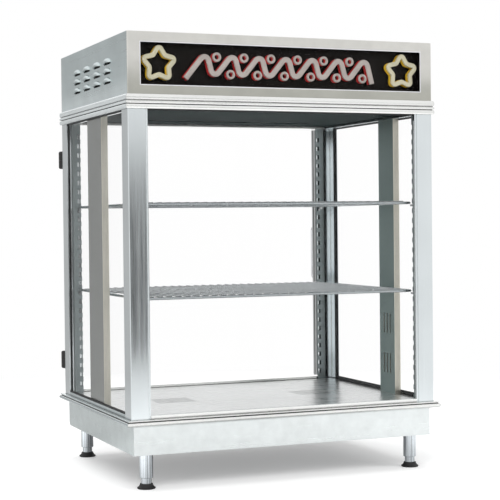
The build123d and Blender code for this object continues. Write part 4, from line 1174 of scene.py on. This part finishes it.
@dataclass(frozen=True)
class PhotoStudio:
    """Plain pale floor, pale world and soft lamps."""

    floor_radius: float = 3.0
    floor_fade: Point = (0.8, 2.0)
    floor_tone: float = 0.8
    floor_glow: float = 0.27
    sky_level: float = 0.5
    # Painted shadow on the floor as metal mirrors it, within this span of the object.
    under_level: float = 0.5
    under_span: Point = (0.35, 0.85)
    dim_heading: Triple = (-0.377, 0.926, 0.0)
    dim_flatness: float = 0.4
    dim_stops: tuple[Point, ...] = ((0.8, 1.0), (0.9, 0.38), (0.955, 0.54), (1.0, 0.54))
    card_depth: float = 0.97
    card_centre: Point = (0.27, -0.042)
    card_reach: Point = (0.15, 0.09)
    card_powers: Point = (2.0, 4.0)
    card_nearest: float = 0.25
    lamp_target: Triple = (0.0, 0.0, 0.45)
    lamps: tuple[SoftBox, ...] = (
        SoftBox("key_softbox", (-1.7, -2.6, 2.4), (2.2, 1.8), 62.0),
        SoftBox("fill_softbox", (2.4, -2.4, 1.6), (2.0, 2.0), 38.0),
        SoftBox("top_softbox", (0.0, 0.3, 3.0), (2.6, 2.6), 60.0),
        SoftBox("rear_softbox", (-0.6, 3.2, 1.8), (2.4, 2.0), 40.0),
    )

    def build(self) -> None:
        """Lay the floor, light the scene and set the view."""
        self.floor()
        self.world()
        for lamp in self.lamps:
            lamp.build(Vector(self.lamp_target))
        bpy.context.scene.view_settings.view_transform = "Standard"

    def floor(self) -> None:
        """Lay a round floor."""
        mesh = bmesh.new()
        bmesh.ops.create_circle(mesh, cap_ends=True, radius=self.floor_radius, segments=96)
        data = bpy.data.meshes.new("studio_floor")
        mesh.to_mesh(data)
        mesh.free()
        data.materials.append(self.floor_paint())
        made = bpy.data.objects.new("studio_floor", data)
        bpy.context.scene.collection.objects.link(made)

    def floor_paint(self) -> bpy.types.Material:
        """Paint that keeps the object's shadow and is white elsewhere; to metal it shows the room's dim directions
        and a painted shadow near the object.

        Returns:
            The floor's material.
        """
        paint = bpy.data.materials.new("studio_floor_paint")
        paint.use_nodes = True
        paint.node_tree.nodes.clear()
        wiring = Wiring(paint.node_tree)
        place = wiring.object_place()
        away = wiring.vector("LENGTH", place, output="Value")
        rays = wiring.node("ShaderNodeLightPath").outputs
        # Painted shadow near the object, only where metal mirrors the floor.
        under = wiring.remap(away, self.under_span, (self.under_level, 1.0))
        around = wiring.math("MULTIPLY", self.around(wiring, wiring.vector("NORMALIZE", place)), under)
        mirrored = wiring.mix(self.bounced(wiring, rays), WHITE, around)
        seen = wiring.math("MAXIMUM", rays["Is Camera Ray"], rays["Is Glossy Ray"])
        seen = wiring.math("MAXIMUM", seen, rays["Is Transmission Ray"])
        tone = wiring.mix(1.0, scaled(WHITE, self.floor_tone), mirrored, "MULTIPLY")
        matt = wiring.join("ShaderNodeBsdfDiffuse", tone)
        near = wiring.join("ShaderNodeEmission", mirrored, wiring.math("MULTIPLY", seen, self.floor_glow))
        lit = wiring.join("ShaderNodeAddShader", matt, near)
        glow = wiring.join("ShaderNodeEmission", mirrored)
        far = wiring.math("MULTIPLY", seen, wiring.remap(away, self.floor_fade))
        out = wiring.node("ShaderNodeOutputMaterial")
        wiring.feed(out.inputs["Surface"], wiring.join("ShaderNodeMixShader", far, lit, glow))
        return paint

    @staticmethod
    def bounced(wiring: Wiring, rays: Sockets) -> Socket:
        """1 for a ray that a glossy surface sent here, even if it passed glass on its way.

        Args:
            wiring: The wiring of the floor or the world.
            rays: The outputs of its Light Path node.

        Returns:
            The socket of the answer.
        """
        bounces = wiring.math("MULTIPLY", rays["Glossy Depth"], 1.0, clamp=True)
        onward = wiring.math("MAXIMUM", rays["Is Glossy Ray"], rays["Is Transmission Ray"])
        return wiring.math("MULTIPLY", bounces, onward)

    def around(self, wiring: Wiring, heading: Socket) -> Socket:
        """How bright metal sees the room in one direction.

        Args:
            wiring: The wiring of the floor or the world.
            heading: The direction.

        Returns:
            The socket of its strength.
        """
        toward = wiring.vector("DOT_PRODUCT", heading, self.dim_heading, output="Value")
        steepness = wiring.math("ABSOLUTE", wiring.split(heading)[2])
        toward = wiring.math("SUBTRACT", toward, wiring.math("MULTIPLY", steepness, self.dim_flatness))
        return wiring.ramp(toward, self.dim_stops)

    def world(self) -> None:
        """White to the eye, pale as a light, and a studio of soft tones to polished metal."""
        world = bpy.data.worlds.new("studio_world")
        bpy.context.scene.world = world
        world.use_nodes = True
        world.node_tree.nodes.clear()
        wiring = Wiring(world.node_tree)
        rays = wiring.node("ShaderNodeLightPath").outputs
        level: Feed = self.sky_level
        for share, seen in (
            (rays["Is Transmission Ray"], 1.0),
            (self.bounced(wiring, rays), self.reflection(wiring)),
            (rays["Is Camera Ray"], 1.0),
        ):
            choice = wiring.node("ShaderNodeMix", data_type="FLOAT")
            for index, value in ((0, share), (2, level), (3, seen)):
                wiring.feed(choice.inputs[index], value)
            level = choice.outputs[0]
        out = wiring.node("ShaderNodeOutputWorld")
        wiring.feed(out.inputs["Surface"], wiring.join("ShaderNodeBackground", WHITE, level))

    def reflection(self, wiring: Wiring) -> Socket:
        """What metal mirrors: bright in front, dimmer behind the left side, one dark card.

        Args:
            wiring: The world's wiring.

        Returns:
            The socket of its strength.
        """
        heading = wiring.node("ShaderNodeTexCoord").outputs["Generated"]
        x, y, z = wiring.split(heading)
        ahead = wiring.math("MAXIMUM", wiring.math("MULTIPLY", y, -1.0), self.card_nearest)
        across = wiring.math("DIVIDE", x, ahead)
        fades = []
        for value, centre, reach, power in zip((across, z), self.card_centre, self.card_reach, self.card_powers):
            off = wiring.math("DIVIDE", wiring.math("SUBTRACT", value, centre), reach)
            fades.append(wiring.math("POWER", wiring.math("ABSOLUTE", off), power))
        card = wiring.math("POWER", math.e, wiring.math("MULTIPLY", wiring.math("ADD", *fades), -1.0))
        shade = wiring.remap(card, UNIT, (1.0, 1.0 - self.card_depth))
        return wiring.math("MULTIPLY", self.around(wiring, heading), shade)


def main() -> None:
    """Build every sub-assembly in order."""
    logging.basicConfig(level=logging.INFO, format="%(name)s: %(message)s")
    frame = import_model()
    PhotoCamera().build()
    PhotoStudio().build()
    for kind in (Base, Cabinet, Interior, Hood, Sign, RearDoor, RearControls, AirSystem):
        group = kind(frame["nodes"])
        group.build()
        LOG.info("%s: %s", kind.__name__, ", ".join(group.made))


if __name__ == "__main__":
    main()
